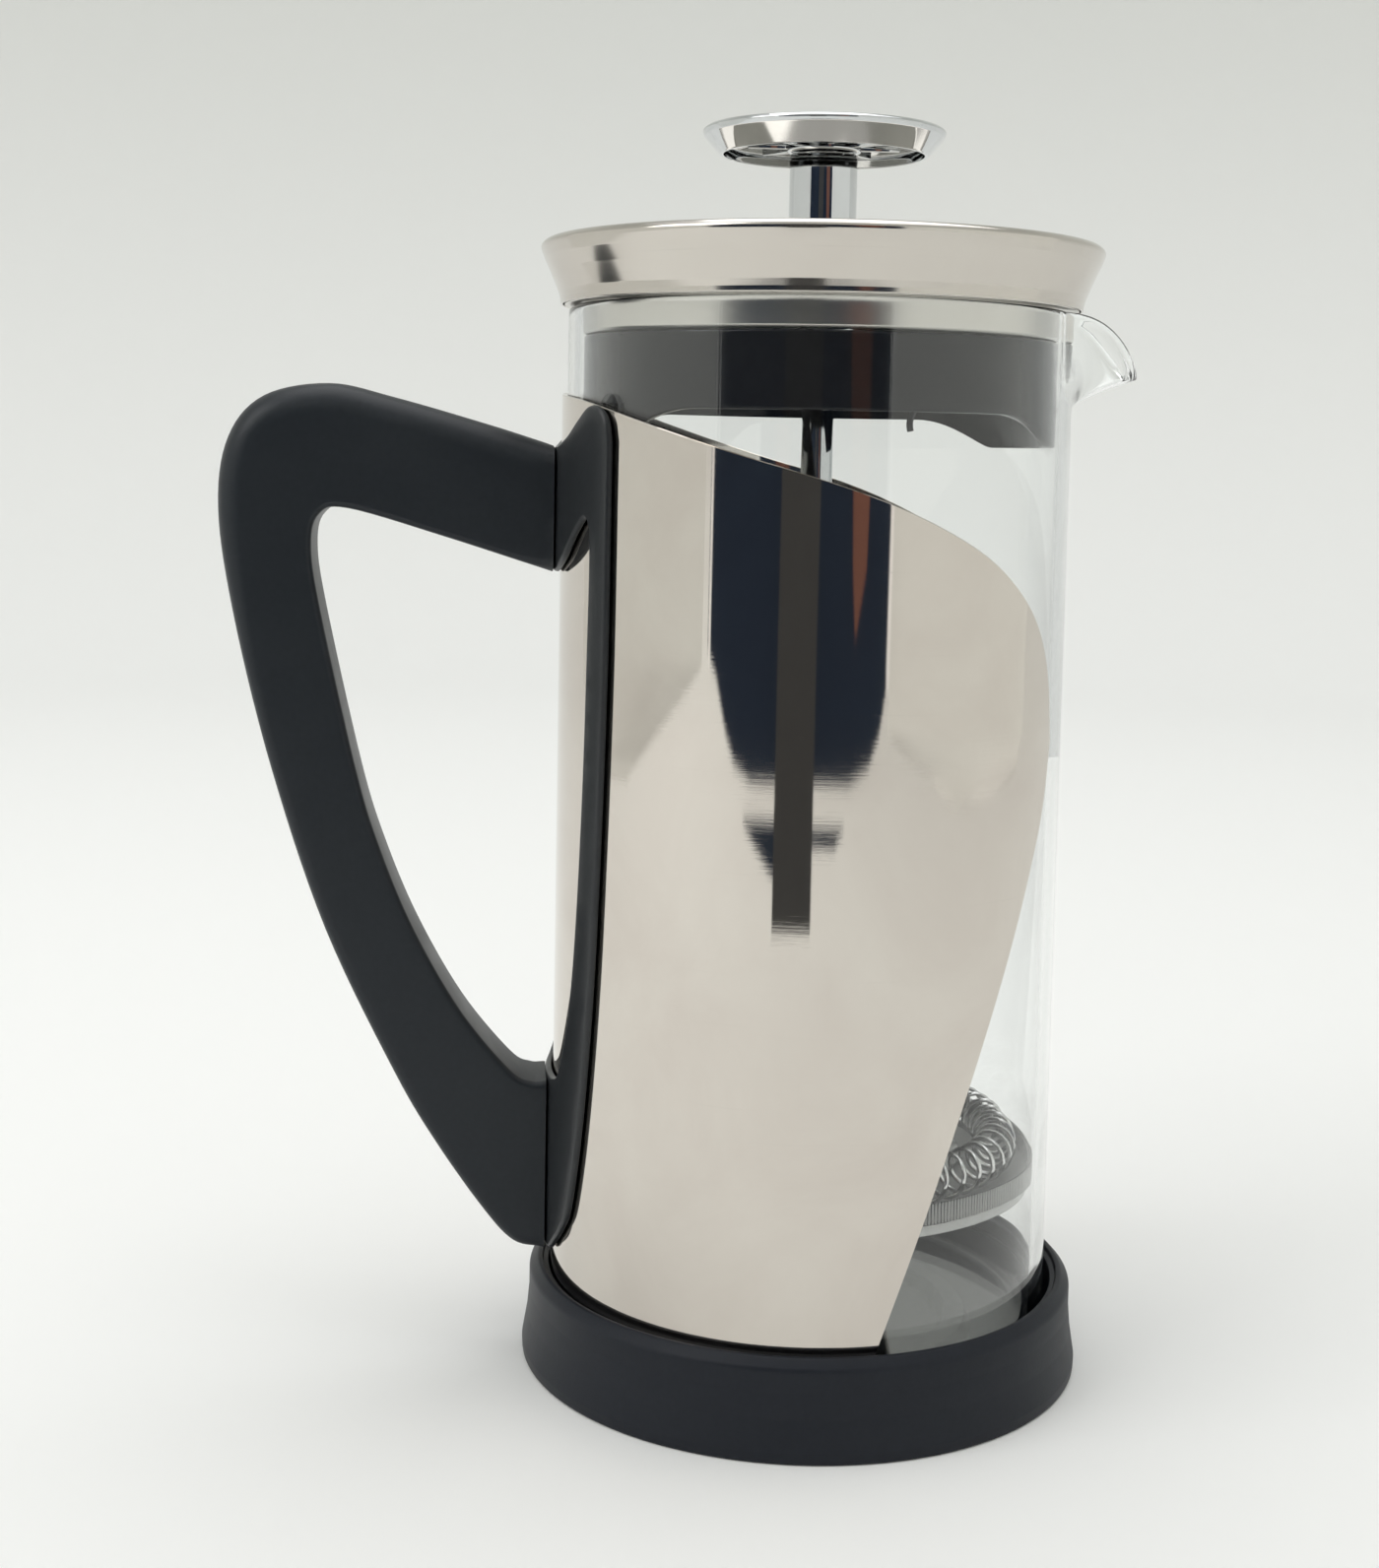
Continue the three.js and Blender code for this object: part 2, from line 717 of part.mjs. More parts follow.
// The knob's shell: a flat disc that flares up and out to a thin rim, open underneath.
function makeKnobCap() {
  const { rimRadius, faceRadius, coneHeight, shell } = knob;
  const low = knobTop - coneHeight;
  return turned([
    [0, knobTop],
    [rimRadius - 1, knobTop],
    [rimRadius, knobTop - 0.6],
    [rimRadius - 0.2, knobTop - 1.4],
    [faceRadius, low],
    [faceRadius - shell, low],
    [faceRadius - shell + 1.6, knobTop - shell - 1.4],
    [faceRadius - shell, knobTop - shell],
    [0, knobTop - shell],
  ]);
}

// The insert inside the shell: a collar on the rod with radial ribs.
function makeKnobInsert() {
  const ribs = [];
  for (let i = 0; i < knob.ribs; i += 1) {
    const length = knob.insertRadius - stemRadius + 2;
    const geometry = new THREE.BoxGeometry(length, knob.ribThickness, 2.4);
    geometry.translate(stemRadius - 1 + length / 2, 0, knobInsertTop - 1.2);
    geometry.rotateZ((i * 2 * Math.PI) / knob.ribs);
    ribs.push(solidOf(geometry));
  }
  return join(ring(rodHole, stemRadius + 0.6, knobInsertLow, knobInsertTop, 32), ...ribs);
}

function makeKnobStem() {
  const top = knobInsertLow - GAP;
  return turned([
    [rodHole, knobFoot],
    [stemRadius - 0.4, knobFoot],
    [stemRadius, knobFoot + 0.4],
    [stemRadius, top],
    [rodHole, top],
  ], 32);
}

// ---------------------------------------------------------------- materials and the assembly

const material = (color, roughness, metalness) => (
  new THREE.MeshStandardMaterial({ color, roughness, metalness })
);
const blackPlastic = material(0x24262b, 0.55, 0);
const polishedSteel = material(0xc9c3b8, 0.18, 1);
const chrome = material(0xd8d8da, 0.08, 1);
const glass = new THREE.MeshStandardMaterial({
  color: 0xf2f6f5, roughness: 0.02, metalness: 0, transparent: true, opacity: 0.3,
});
const steelMesh = material(0x8f8f8d, 0.4, 1);
const zincScrew = material(0x9a9a9c, 0.35, 1);

function piece(name, solid, look) {
  const mesh = new THREE.Mesh(geometryOf(solid), look);
  mesh.name = name;
  return mesh;
}

const press = new THREE.Group();

const carrier = new THREE.Group();
carrier.add(piece('base_ring', makeBase(), blackPlastic));
carrier.add(piece('steel_sleeve', makeSleeve(), polishedSteel));
carrier.add(piece('handle_frame', makeFrame(), blackPlastic));
carrier.add(piece('handle_grip', makeGrip(), blackPlastic));
carrier.add(piece('handle_screw_upper', makeHandleScrew(screw.upperShare), zincScrew));
carrier.add(piece('handle_screw_lower', makeHandleScrew(screw.lowerShare), zincScrew));
screwAngles.forEach((angle, i) => {
  carrier.add(piece(`base_screw_${i + 1}`, makeBaseScrew(angle), zincScrew));
});

const lidGroup = new THREE.Group();
lidGroup.add(piece('lid_shell', makeLidShell(), polishedSteel));
lidGroup.add(piece('lid_neck', makeLidNeck(), polishedSteel));
lidGroup.add(piece('lid_core', makeLidCore(), blackPlastic));
lidGroup.add(piece('lid_skirt', makeLidSkirt(), blackPlastic));
lidGroup.add(piece('rod_bush', makeBush(), chrome));
lidGroup.add(piece('bush_nut', makeBushNut(), chrome));

const plunger = new THREE.Group();
plunger.add(piece('plunger_rod', makeRod(), chrome));
plunger.add(piece('filter_hub', makeFilterHub(), chrome));
plunger.add(piece('spiral_plate', makeSpiralPlate(), polishedSteel));
plunger.add(piece('edge_spring', makeEdgeSpring(), chrome));
plunger.add(piece('mesh_screen', makeMesh(), steelMesh));
plunger.add(piece('cross_plate', makeCrossPlate(), polishedSteel));
plunger.add(piece('filter_nut', makeFilterNut(), chrome));

const knobGroup = new THREE.Group();
knobGroup.add(piece('knob_cap', makeKnobCap(), chrome));
knobGroup.add(piece('knob_insert', makeKnobInsert(), chrome));
knobGroup.add(piece('knob_stem', makeKnobStem(), chrome));

press.add(carrier, piece('glass_beaker', makeBeaker(), glass), lidGroup, plunger, knobGroup);

export default press;
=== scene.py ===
import json
import math

import bmesh
import bpy
from mathutils import Matrix, Vector, geometry


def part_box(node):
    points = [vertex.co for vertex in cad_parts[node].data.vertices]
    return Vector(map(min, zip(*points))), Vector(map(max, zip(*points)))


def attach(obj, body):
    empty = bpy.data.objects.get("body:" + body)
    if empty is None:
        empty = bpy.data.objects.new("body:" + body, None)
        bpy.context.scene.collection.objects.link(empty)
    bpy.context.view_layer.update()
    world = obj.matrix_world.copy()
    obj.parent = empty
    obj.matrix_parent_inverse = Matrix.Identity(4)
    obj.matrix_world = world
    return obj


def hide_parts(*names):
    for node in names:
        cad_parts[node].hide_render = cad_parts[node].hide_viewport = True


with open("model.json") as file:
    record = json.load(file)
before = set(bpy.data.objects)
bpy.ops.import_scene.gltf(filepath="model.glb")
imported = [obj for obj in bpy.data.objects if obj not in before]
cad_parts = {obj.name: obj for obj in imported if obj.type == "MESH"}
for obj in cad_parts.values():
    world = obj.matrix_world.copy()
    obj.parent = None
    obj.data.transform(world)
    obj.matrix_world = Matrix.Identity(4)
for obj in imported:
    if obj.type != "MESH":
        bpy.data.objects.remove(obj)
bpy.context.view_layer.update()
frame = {"record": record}

# Shapes are drawn in millimetres and become metres when their mesh is made. The beaker's axis is
# the Z axis, the handle points along -X and the spout along +X.
MM = 0.001
GAP = 0.3                        # clearance between pieces that fit together
ROUND = 192                      # steps round a full turn
PARTING = 0.02                   # keeps a piece just inside its CAD solid
SHARP = 35                       # an edge that turns by more degrees than this stays crisp

scene = bpy.context.scene
scene.view_settings.view_transform = "Standard"
record = frame["record"]
BODY_OF = {node: body for body, nodes in record["behaviour"]["bodies"].items() for node in nodes}


def heights(name):
    """Lowest and highest height of a CAD node."""
    low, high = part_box(name)
    return low.z / MM, high.z / MM


def extent(name):
    """Outer radius, lowest and highest height of a round CAD node."""
    low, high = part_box(name)
    return max(high.y, -low.y) / MM, *heights(name)


# ---------------------------------------------------------------- mesh helpers

def around(angle, radius, height):
    """A point round the axis: 0 degrees is the handle's side, and angles grow by -Y."""
    turn = math.radians(angle)
    return Vector((-radius * math.cos(turn), -radius * math.sin(turn), height))


def spread(start, end, steps):
    """Even values from start to end, both included."""
    return [start + (end - start) * i / steps for i in range(steps + 1)]


def spline(points, steps):
    """A smooth line through points, with the given number of steps between neighbours."""
    ends = [points[0] * 2 - points[1]] + points + [points[-1] * 2 - points[-2]]
    line = []
    for a, b, c, d in zip(ends, ends[1:], ends[2:], ends[3:]):
        for t in (i / steps for i in range(steps)):
            line.append(0.5 * (2 * b + (c - a) * t + (2 * a - 5 * b + 4 * c - d) * t * t
                               + (3 * b - a - 3 * c + d) * t ** 3))
    return line + [points[-1]]


def edge_line(*points):
    """The height of an edge at any angle, through (angle, height) points in rising angles."""
    line = spline([Vector(point) for point in points], 12)

    def height(angle):
        for a, b in zip(line, line[1:]):
            if angle <= b.x:
                share = (max(angle, a.x) - a.x) / max(b.x - a.x, 1e-6)
                return a.y + (b.y - a.y) * share
        return line[-1].y
    return height


def rounded(*corners, steps=5):
    """An outline whose (across, up, radius) corners are rounded; a corner with no radius is kept."""
    outline = []
    for i, (across, up, *radius) in enumerate(corners):
        corner = Vector((across, up))
        if not radius:
            outline.append(corner)
            continue
        before = Vector(corners[i - 1][:2]) - corner
        after = Vector(corners[(i + 1) % len(corners)][:2]) - corner
        wanted = radius[0] / math.tan(before.angle(after) / 2)
        reach = min(wanted, before.length / 2, after.length / 2)
        start = corner + before.normalized() * reach
        end = corner + after.normalized() * reach
        for t in spread(0, 1, steps):
            outline.append(start * (1 - t) ** 2 + corner * 2 * t * (1 - t) + end * t * t)
    return outline


def new_piece(name, points, faces, sharp=SHARP):
    """A closed mesh of millimetre points, smooth but for its sharp edges."""
    mesh = bpy.data.meshes.new(name)
    mesh.from_pydata([Vector(point) * MM for point in points], [], faces)
    piece = bpy.data.objects.new(name, mesh)
    scene.collection.objects.link(piece)
    tidy_mesh(mesh, sharp)
    return piece


def tidy_mesh(mesh, sharp=SHARP):
    """Merges doubles, turns the faces outwards and marks edges that turn by more than sharp degrees."""
    shape = bmesh.new()
    shape.from_mesh(mesh)
    bmesh.ops.remove_doubles(shape, verts=shape.verts, dist=1e-7)
    bmesh.ops.dissolve_degenerate(shape, edges=shape.edges, dist=1e-7)
    bmesh.ops.recalc_face_normals(shape, faces=shape.faces)
    if shape.calc_volume(signed=True) < 0:
        bmesh.ops.reverse_faces(shape, faces=shape.faces)
    for face in shape.faces:
        face.smooth = True
    for edge in shape.edges:
        edge.smooth = edge.calc_face_angle(0) < math.radians(sharp)
    shape.to_mesh(mesh)
    shape.free()


def turned(name, outline, steps=ROUND, sharp=SHARP):
    """An outline of (radius, height) points turned round the axis. It ends on the axis or closes."""
    points, rows = [], []
    for point in outline:
        if point[0] < 1e-6:
            rows.append([len(points)] * steps)
            points.append((0, 0, point[1]))
        else:
            rows.append(list(range(len(points), len(points) + steps)))
            points += [around(360 * i / steps, point[0], point[1]) for i in range(steps)]
    faces = []
    for here, above in zip(rows, rows[1:] + rows[:1]):
        for i in range(steps):
            corners = [here[i], here[(i + 1) % steps], above[(i + 1) % steps], above[i]]
            corners = list(dict.fromkeys(corners))
            if len(corners) > 2:
                faces.append(corners)
    return new_piece(name, points, faces, sharp)


def lofted(name, columns, closed=True, sharp=SHARP):
    """A skin over columns of points, each column a closed outline; open ends are capped."""
    rows = len(columns[0])
    points = [point for column in columns for point in column]
    faces = []
    for i in range(len(columns) if closed else len(columns) - 1):
        here, there = i * rows, (i + 1) % len(columns) * rows
        for row in range(rows):
            after = (row + 1) % rows
            faces.append((here + row, here + after, there + after, there + row))
    if not closed:
        faces += [tuple(range(rows)), tuple(range(len(points) - rows, len(points)))]
    return new_piece(name, points, faces, sharp)


def padded_plate(name, loops, rings, wrap, spacing, sharp=40, square=None):
    """A plate with rounded edges.

    loops are closed (across, up) outlines, the outer one first. rings(loop, i) gives, from the back
    to the front, pairs of how far in from the outline a ring lies and its depth. wrap puts
    (across, up, depth) in place, and spacing is the grid that carries the two broad faces. square
    gives the inward directions of the points where the outline is cut off square.
    """
    points, faces = [], []
    backs, fronts = [], []
    for number, loop in enumerate(loops):
        inward = inward_normals(loop, number > 0)
        for i, way in (square or {}).items():
            inward[i] = Vector(way)
        ladder = [rings(number, i) for i in range(len(loop))]
        start = len(points)
        levels = len(ladder[0])
        for level in range(levels):
            for i, point in enumerate(loop):
                inset, depth = ladder[i][level]
                place = point + inward[i] * inset
                points.append(wrap(place.x, place.y, depth))
        count = len(loop)
        for level in range(levels - 1):
            for i in range(count):
                a, b = start + level * count + i, start + level * count + (i + 1) % count
                faces.append((a, b, b + count, a + count))
        backs.append([p + n * r[0][0] for p, n, r in zip(loop, inward, ladder)])
        fronts.append([p + n * r[-1][0] for p, n, r in zip(loop, inward, ladder)])
    fill_face(points, faces, backs, ladder[0][0][1], wrap, spacing)
    fill_face(points, faces, fronts, ladder[0][-1][1], wrap, spacing)
    return new_piece(name, points, faces, sharp)


def inward_normals(loop, hole):
    """Directions from an outline into the material beside it."""
    area = sum(a.x * b.y - b.x * a.y for a, b in zip(loop, loop[1:] + loop[:1]))
    side = (1 if area > 0 else -1) * (-1 if hole else 1)
    normals = []
    for i in range(len(loop)):
        along = (loop[(i + 1) % len(loop)] - loop[i - 1]).normalized()
        normals.append(Vector((-along.y, along.x)) * side)
    return normals


def inside(point, loop):
    """Whether a point lies inside a closed outline."""
    hit = False
    for a, b in zip(loop, loop[1:] + loop[:1]):
        if (a.y > point.y) != (b.y > point.y):
            if point.x < a.x + (point.y - a.y) * (b.x - a.x) / (b.y - a.y):
                hit = not hit
    return hit


def fill_face(points, faces, loops, depth, wrap, spacing):
    """Fills one broad face of a plate with triangles over a grid of inner points."""
    clear_share = 0.6            # of the spacing, kept free between a grid point and any other
    flat = [place for loop in loops for place in loop]
    rims, start = [], 0
    for loop in loops:
        rims.append(list(range(start, start + len(loop))))
        start += len(loop)
    across = [place.x for place in flat]
    up = [place.y for place in flat]
    for i in range(1, int((max(across) - min(across)) / spacing) + 1):
        for j in range(1, int((max(up) - min(up)) / spacing) + 1):
            spot = Vector((min(across) + i * spacing, min(up) + j * spacing))
            if sum(inside(spot, loop) for loop in loops) != 1:
                continue
            if min((spot - place).length for place in flat) > spacing * clear_share:
                flat.append(spot)
    places, _, triangles, *_ = geometry.delaunay_2d_cdt(flat, [], rims, 1, 1e-7)
    kept = []
    for triangle in triangles:
        centre = sum((places[i] for i in triangle), Vector((0, 0))) / 3
        if sum(inside(centre, loop) for loop in loops) == 1:
            kept.append(triangle)
    start = len(points)
    points += [wrap(place.x, place.y, depth) for place in places]
    faces += [tuple(start + i for i in triangle) for triangle in kept]


def settle(piece, sharp=SHARP):
    """Turns what the piece's modifiers make into its own plain mesh."""
    bpy.context.view_layer.update()
    graph = bpy.context.evaluated_depsgraph_get()
    mesh = bpy.data.meshes.new_from_object(piece.evaluated_get(graph))
    piece.modifiers.clear()
    piece.data = mesh
    tidy_mesh(mesh, sharp)


def cut_away(piece, cutter, sharp=SHARP):
    """Takes the cutter's shape out of a piece and removes the cutter."""
    modifier = piece.modifiers.new("cut", "BOOLEAN")
    modifier.object = cutter
    modifier.solver = "EXACT"
    settle(piece, sharp)
    bpy.data.objects.remove(cutter)
    return piece


# ---------------------------------------------------------------- nodes

def node(tree, kind, inputs=None, **settings):
    """A node with its settings. An input is a value, a socket, or a node for its first output."""
    made = tree.nodes.new(kind)
    for name, value in settings.items():
        setattr(made, name, value)
    for name, value in (inputs or {}).items():
        if isinstance(value, bpy.types.Node):
            value = value.outputs[0]
        if isinstance(value, bpy.types.NodeSocket):
            tree.links.new(value, made.inputs[name])
        else:
            made.inputs[name].default_value = value
    return made


def sums(tree, operation, first, second=0.0, third=0.0):
    """One Math node's result."""
    made = node(tree, "ShaderNodeMath", {0: first, 1: second, 2: third}, operation=operation)
    return made.outputs[0]


def new_tree(name, kind, inputs, outputs):
    """A node group with named sockets; returns the tree, what it is given and what it puts out."""
    tree = bpy.data.node_groups.new(name, kind)
    for label, socket, value in inputs:
        made = tree.interface.new_socket(name=label, in_out="INPUT", socket_type=socket)
        if value is not None:
            made.default_value = value
    for label, socket in outputs:
        tree.interface.new_socket(name=label, in_out="OUTPUT", socket_type=socket)
    return tree, tree.nodes.new("NodeGroupInput").outputs, tree.nodes.new("NodeGroupOutput").inputs


def finish_tree(tree, geometry, given, result):
    """The end of a geometry tree: its copies made real, with the given finish."""
    real = node(tree, "GeometryNodeRealizeInstances", {"Geometry": geometry})
    painted = node(tree, "GeometryNodeSetMaterial", {"Geometry": real, "Material": given["Finish"]})
    tree.links.new(painted.outputs[0], result["Geometry"])


# ---------------------------------------------------------------- geometry trees

def ring_tree():
    """Copies of one object set round the axis, each turned to face outwards."""
    tree, given, result = new_tree("set_round_axis", "GeometryNodeTree", [
        ("Piece", "NodeSocketObject", None), ("Count", "NodeSocketInt", 8),
        ("Radius", "NodeSocketFloat", 0.01), ("Height", "NodeSocketFloat", 0.0),
        ("First Angle", "NodeSocketFloat", 0.0), ("Step Angle", "NodeSocketFloat", 0.0),
        ("Finish", "NodeSocketMaterial", None),
    ], [("Geometry", "NodeSocketGeometry")])
    index = node(tree, "GeometryNodeInputIndex")
    turn = sums(tree, "MULTIPLY_ADD", index, given["Step Angle"], given["First Angle"])
    line = node(tree, "GeometryNodeMeshLine", {"Count": given["Count"], "Offset": (0, 0, 0)})
    place = node(tree, "ShaderNodeCombineXYZ", {
        0: sums(tree, "MULTIPLY", sums(tree, "COSINE", turn), given["Radius"]),
        1: sums(tree, "MULTIPLY", sums(tree, "SINE", turn), given["Radius"]),
        2: given["Height"],
    })
    placed = node(tree, "GeometryNodeSetPosition", {"Geometry": line, "Position": place})
    facing = node(tree, "ShaderNodeCombineXYZ", {2: turn})
    piece = node(tree, "GeometryNodeObjectInfo", {"Object": given["Piece"]})
    copies = node(tree, "GeometryNodeInstanceOnPoints", {
        "Points": placed, "Instance": piece.outputs["Geometry"], "Rotation": facing,
    })
    finish_tree(tree, copies, given, result)
    return tree


def coil_tree():
    """A spring wound round a ring: one closed wire that turns round the ring's own circle."""
    tree, given, result = new_tree("ring_spring", "GeometryNodeTree", [
        ("Ring Radius", "NodeSocketFloat", 0.04), ("Coil Radius", "NodeSocketFloat", 0.004),
        ("Wire Radius", "NodeSocketFloat", 0.0005), ("Turns", "NodeSocketInt", 60),
        ("Steps Per Turn", "NodeSocketInt", 18), ("Height", "NodeSocketFloat", 0.0),
        ("Unevenness", "NodeSocketFloat", 0.0), ("Finish", "NodeSocketMaterial", None),
    ], [("Geometry", "NodeSocketGeometry")])
    count = sums(tree, "MULTIPLY", given["Turns"], given["Steps Per Turn"])
    circle = node(tree, "GeometryNodeCurvePrimitiveCircle", {"Resolution": count, "Radius": 1.0})
    index = node(tree, "GeometryNodeInputIndex")
    turn = sums(tree, "MULTIPLY", sums(tree, "DIVIDE", index, count), 2 * math.pi)
    wobble = node(tree, "ShaderNodeTexNoise", {"W": sums(tree, "MULTIPLY", index, 0.03), "Scale": 1.0},
                  noise_dimensions="1D")
    wind = sums(tree, "ADD", sums(tree, "MULTIPLY", turn, given["Turns"]),
                sums(tree, "MULTIPLY", wobble, given["Unevenness"]))
    out = sums(tree, "MULTIPLY_ADD", sums(tree, "COSINE", wind), given["Coil Radius"],
               given["Ring Radius"])
    place = node(tree, "ShaderNodeCombineXYZ", {
        0: sums(tree, "MULTIPLY", out, sums(tree, "COSINE", turn)),
        1: sums(tree, "MULTIPLY", out, sums(tree, "SINE", turn)),
        2: sums(tree, "MULTIPLY_ADD", sums(tree, "SINE", wind), given["Coil Radius"],
                given["Height"]),
    })
    coil = node(tree, "GeometryNodeSetPosition", {"Geometry": circle, "Position": place})
    section = node(tree, "GeometryNodeCurvePrimitiveCircle", {
        "Resolution": 6, "Radius": given["Wire Radius"],
    })
    tube = node(tree, "GeometryNodeCurveToMesh", {"Curve": coil, "Profile Curve": section})
    finish_tree(tree, tube, given, result)
    return tree


RING_TREE = ring_tree()
COIL_TREE = coil_tree()


def grown(name, tree, sharp=SHARP, **sizes):
    """A plain mesh piece made by a geometry tree with the given named sizes."""
    piece = bpy.data.objects.new(name, bpy.data.meshes.new(name))
    scene.collection.objects.link(piece)
    modifier = piece.modifiers.new("grow", "NODES")
    modifier.node_group = tree
    for socket in tree.interface.items_tree:
        label = socket.name.replace(" ", "_").lower()
        if socket.item_type == "SOCKET" and socket.in_out == "INPUT" and label in sizes:
            modifier[socket.identifier] = sizes[label]
    settle(piece, sharp)
    return piece


def set_round(name, template, finish, count, radius=0.0, height=0.0, first=0.0, step=None,
              sharp=SHARP):
    """Copies of a template round the axis as one piece; the template is removed."""
    step = 360 / count if step is None else step
    piece = grown(name, RING_TREE, sharp, piece=template, count=count, radius=radius * MM,
                  height=height * MM, first_angle=math.radians(first), step_angle=math.radians(step),
                  finish=finish)
    bpy.data.objects.remove(template)
    return piece


def joined(piece, *others):
    """Puts the meshes of other objects into the piece's own mesh and removes those objects."""
    shape = bmesh.new()
    shape.from_mesh(piece.data)
    for other in others:
        shape.from_mesh(other.data)
    shape.to_mesh(piece.data)
    shape.free()
    for other in others:
        bpy.data.objects.remove(other)
    return piece


def box_piece(name, low, high, bevel=0.0):
    """A block between two corners, with its edges rounded by the bevel."""
    (x0, y0, z0), (x1, y1, z1) = low, high
    points = [(x, y, z) for x in (x0, x1) for y in (y0, y1) for z in (z0, z1)]
    faces = [(0, 1, 3, 2), (4, 6, 7, 5), (0, 4, 5, 1), (2, 3, 7, 6), (0, 2, 6, 4), (1, 5, 7, 3)]
    piece = new_piece(name, points, faces)
    if bevel:
        shape = bmesh.new()
        shape.from_mesh(piece.data)
        bmesh.ops.bevel(shape, geom=shape.edges, offset=bevel * MM, segments=2, affect="EDGES",
                        profile=0.5)
        shape.to_mesh(piece.data)
        shape.free()
        tidy_mesh(piece.data)
    return piece


# ---------------------------------------------------------------- shader groups

def hairline_group():
    """Fine scratches that run level round a turned or brushed surface."""
    tree, given, result = new_tree("hairlines", "ShaderNodeTree", [
        ("Position", "NodeSocketVector", None), ("Lines Per Metre", "NodeSocketFloat", 4000.0),
        ("Length Share", "NodeSocketFloat", 0.01), ("Contrast", "NodeSocketFloat", 0.5),
    ], [("Height", "NodeSocketFloat"), ("Mask", "NodeSocketFloat")])
    along = sums(tree, "MULTIPLY", given["Lines Per Metre"], given["Length Share"])
    scale = node(tree, "ShaderNodeCombineXYZ", {0: along, 1: along, 2: given["Lines Per Metre"]})
    place = node(tree, "ShaderNodeVectorMath", {0: given["Position"], 1: scale}, operation="MULTIPLY")
    fine = node(tree, "ShaderNodeTexNoise", {"Vector": place, "Scale": 1.0, "Detail": 4.0,
                                             "Roughness": 0.7})
    height = sums(tree, "MULTIPLY", sums(tree, "SUBTRACT", fine, 0.5), given["Contrast"])
    deep = node(tree, "ShaderNodeMapRange", {"Value": fine, "From Min": 0.62, "From Max": 0.74})
    tree.links.new(height, result["Height"])
    tree.links.new(deep.outputs[0], result["Mask"])
    return tree


def smudge_group():
    """Soft uneven patches, as wiping and handling leave them."""
    tree, given, result = new_tree("smudges", "ShaderNodeTree", [
        ("Position", "NodeSocketVector", None), ("Patches Per Metre", "NodeSocketFloat", 40.0),
        ("Spread", "NodeSocketFloat", 0.5),
    ], [("Mask", "NodeSocketFloat")])
    patch = node(tree, "ShaderNodeTexNoise", {
        "Vector": given["Position"], "Scale": given["Patches Per Metre"], "Detail": 5.0,
        "Roughness": 0.6, "Distortion": 0.6,
    })
    edge = sums(tree, "MULTIPLY", given["Spread"], 0.25)
    mask = node(tree, "ShaderNodeMapRange", {
        "Value": patch, "From Min": sums(tree, "SUBTRACT", 0.52, edge),
        "From Max": sums(tree, "ADD", 0.56, edge),
    }, interpolation_type="SMOOTHSTEP")
    tree.links.new(mask.outputs[0], result["Mask"])
    return tree


def grain_group():
    """The fine pitted skin of moulded plastic."""
    tree, given, result = new_tree("moulded_grain", "ShaderNodeTree", [
        ("Position", "NodeSocketVector", None), ("Pits Per Metre", "NodeSocketFloat", 2500.0),
    ], [("Height", "NodeSocketFloat"), ("Tone", "NodeSocketFloat")])
    pits = node(tree, "ShaderNodeTexVoronoi", {"Vector": given["Position"],
                                               "Scale": given["Pits Per Metre"]},
                feature="SMOOTH_F1")
    soft = node(tree, "ShaderNodeTexNoise", {
        "Vector": given["Position"], "Detail": 3.0,
        "Scale": sums(tree, "MULTIPLY", given["Pits Per Metre"], 0.4),
    })
    height = sums(tree, "ADD", sums(tree, "MULTIPLY", pits, 0.6), soft)
    tree.links.new(height, result["Height"])
    tree.links.new(soft.outputs[0], result["Tone"])
    return tree


def wear_group():
    """Where edges and corners are rubbed: sharp convex places, broken up by noise."""
    tree, given, result = new_tree("edge_wear", "ShaderNodeTree", [
        ("Position", "NodeSocketVector", None), ("Start", "NodeSocketFloat", 0.54),
        ("Patches Per Metre", "NodeSocketFloat", 300.0),
    ], [("Mask", "NodeSocketFloat")])
    shape = node(tree, "ShaderNodeNewGeometry")
    convex = node(tree, "ShaderNodeMapRange", {
        "Value": shape.outputs["Pointiness"], "From Min": given["Start"],
        "From Max": sums(tree, "ADD", given["Start"], 0.06),
    })
    broken = node(tree, "ShaderNodeTexNoise", {
        "Vector": given["Position"], "Scale": given["Patches Per Metre"], "Detail": 4.0,
    })
    rough = node(tree, "ShaderNodeMapRange", {"Value": broken, "From Min": 0.45, "From Max": 0.65})
    tree.links.new(sums(tree, "MULTIPLY", convex, rough), result["Mask"])
    return tree


def weave_group():
    """Plain-woven wire: two families of threads that go over and under each other."""
    tree, given, result = new_tree("wire_weave", "ShaderNodeTree", [
        ("Position", "NodeSocketVector", None), ("Threads Per Metre", "NodeSocketFloat", 4000.0),
    ], [("Height", "NodeSocketFloat"), ("Mask", "NodeSocketFloat")])
    scale = sums(tree, "MULTIPLY", given["Threads Per Metre"], math.pi)
    place = node(tree, "ShaderNodeVectorMath", {0: given["Position"], "Scale": scale}, operation="SCALE")
    parts = node(tree, "ShaderNodeSeparateXYZ", {0: place})
    waves = [sums(tree, "SINE", parts.outputs[axis]) for axis in (0, 1)]
    height = sums(tree, "ABSOLUTE", sums(tree, "MULTIPLY", *waves))
    # The mask is low in the valleys between threads, where the finish puts painted shade.
    mask = node(tree, "ShaderNodeMapRange", {"Value": height, "From Min": 0.05, "From Max": 0.35})
    tree.links.new(height, result["Height"])
    tree.links.new(mask.outputs[0], result["Mask"])
    return tree


GROUPS = {
    "hairlines": hairline_group(), "smudges": smudge_group(), "grain": grain_group(),
    "wear": wear_group(), "weave": weave_group(),
}


# ---------------------------------------------------------------- materials

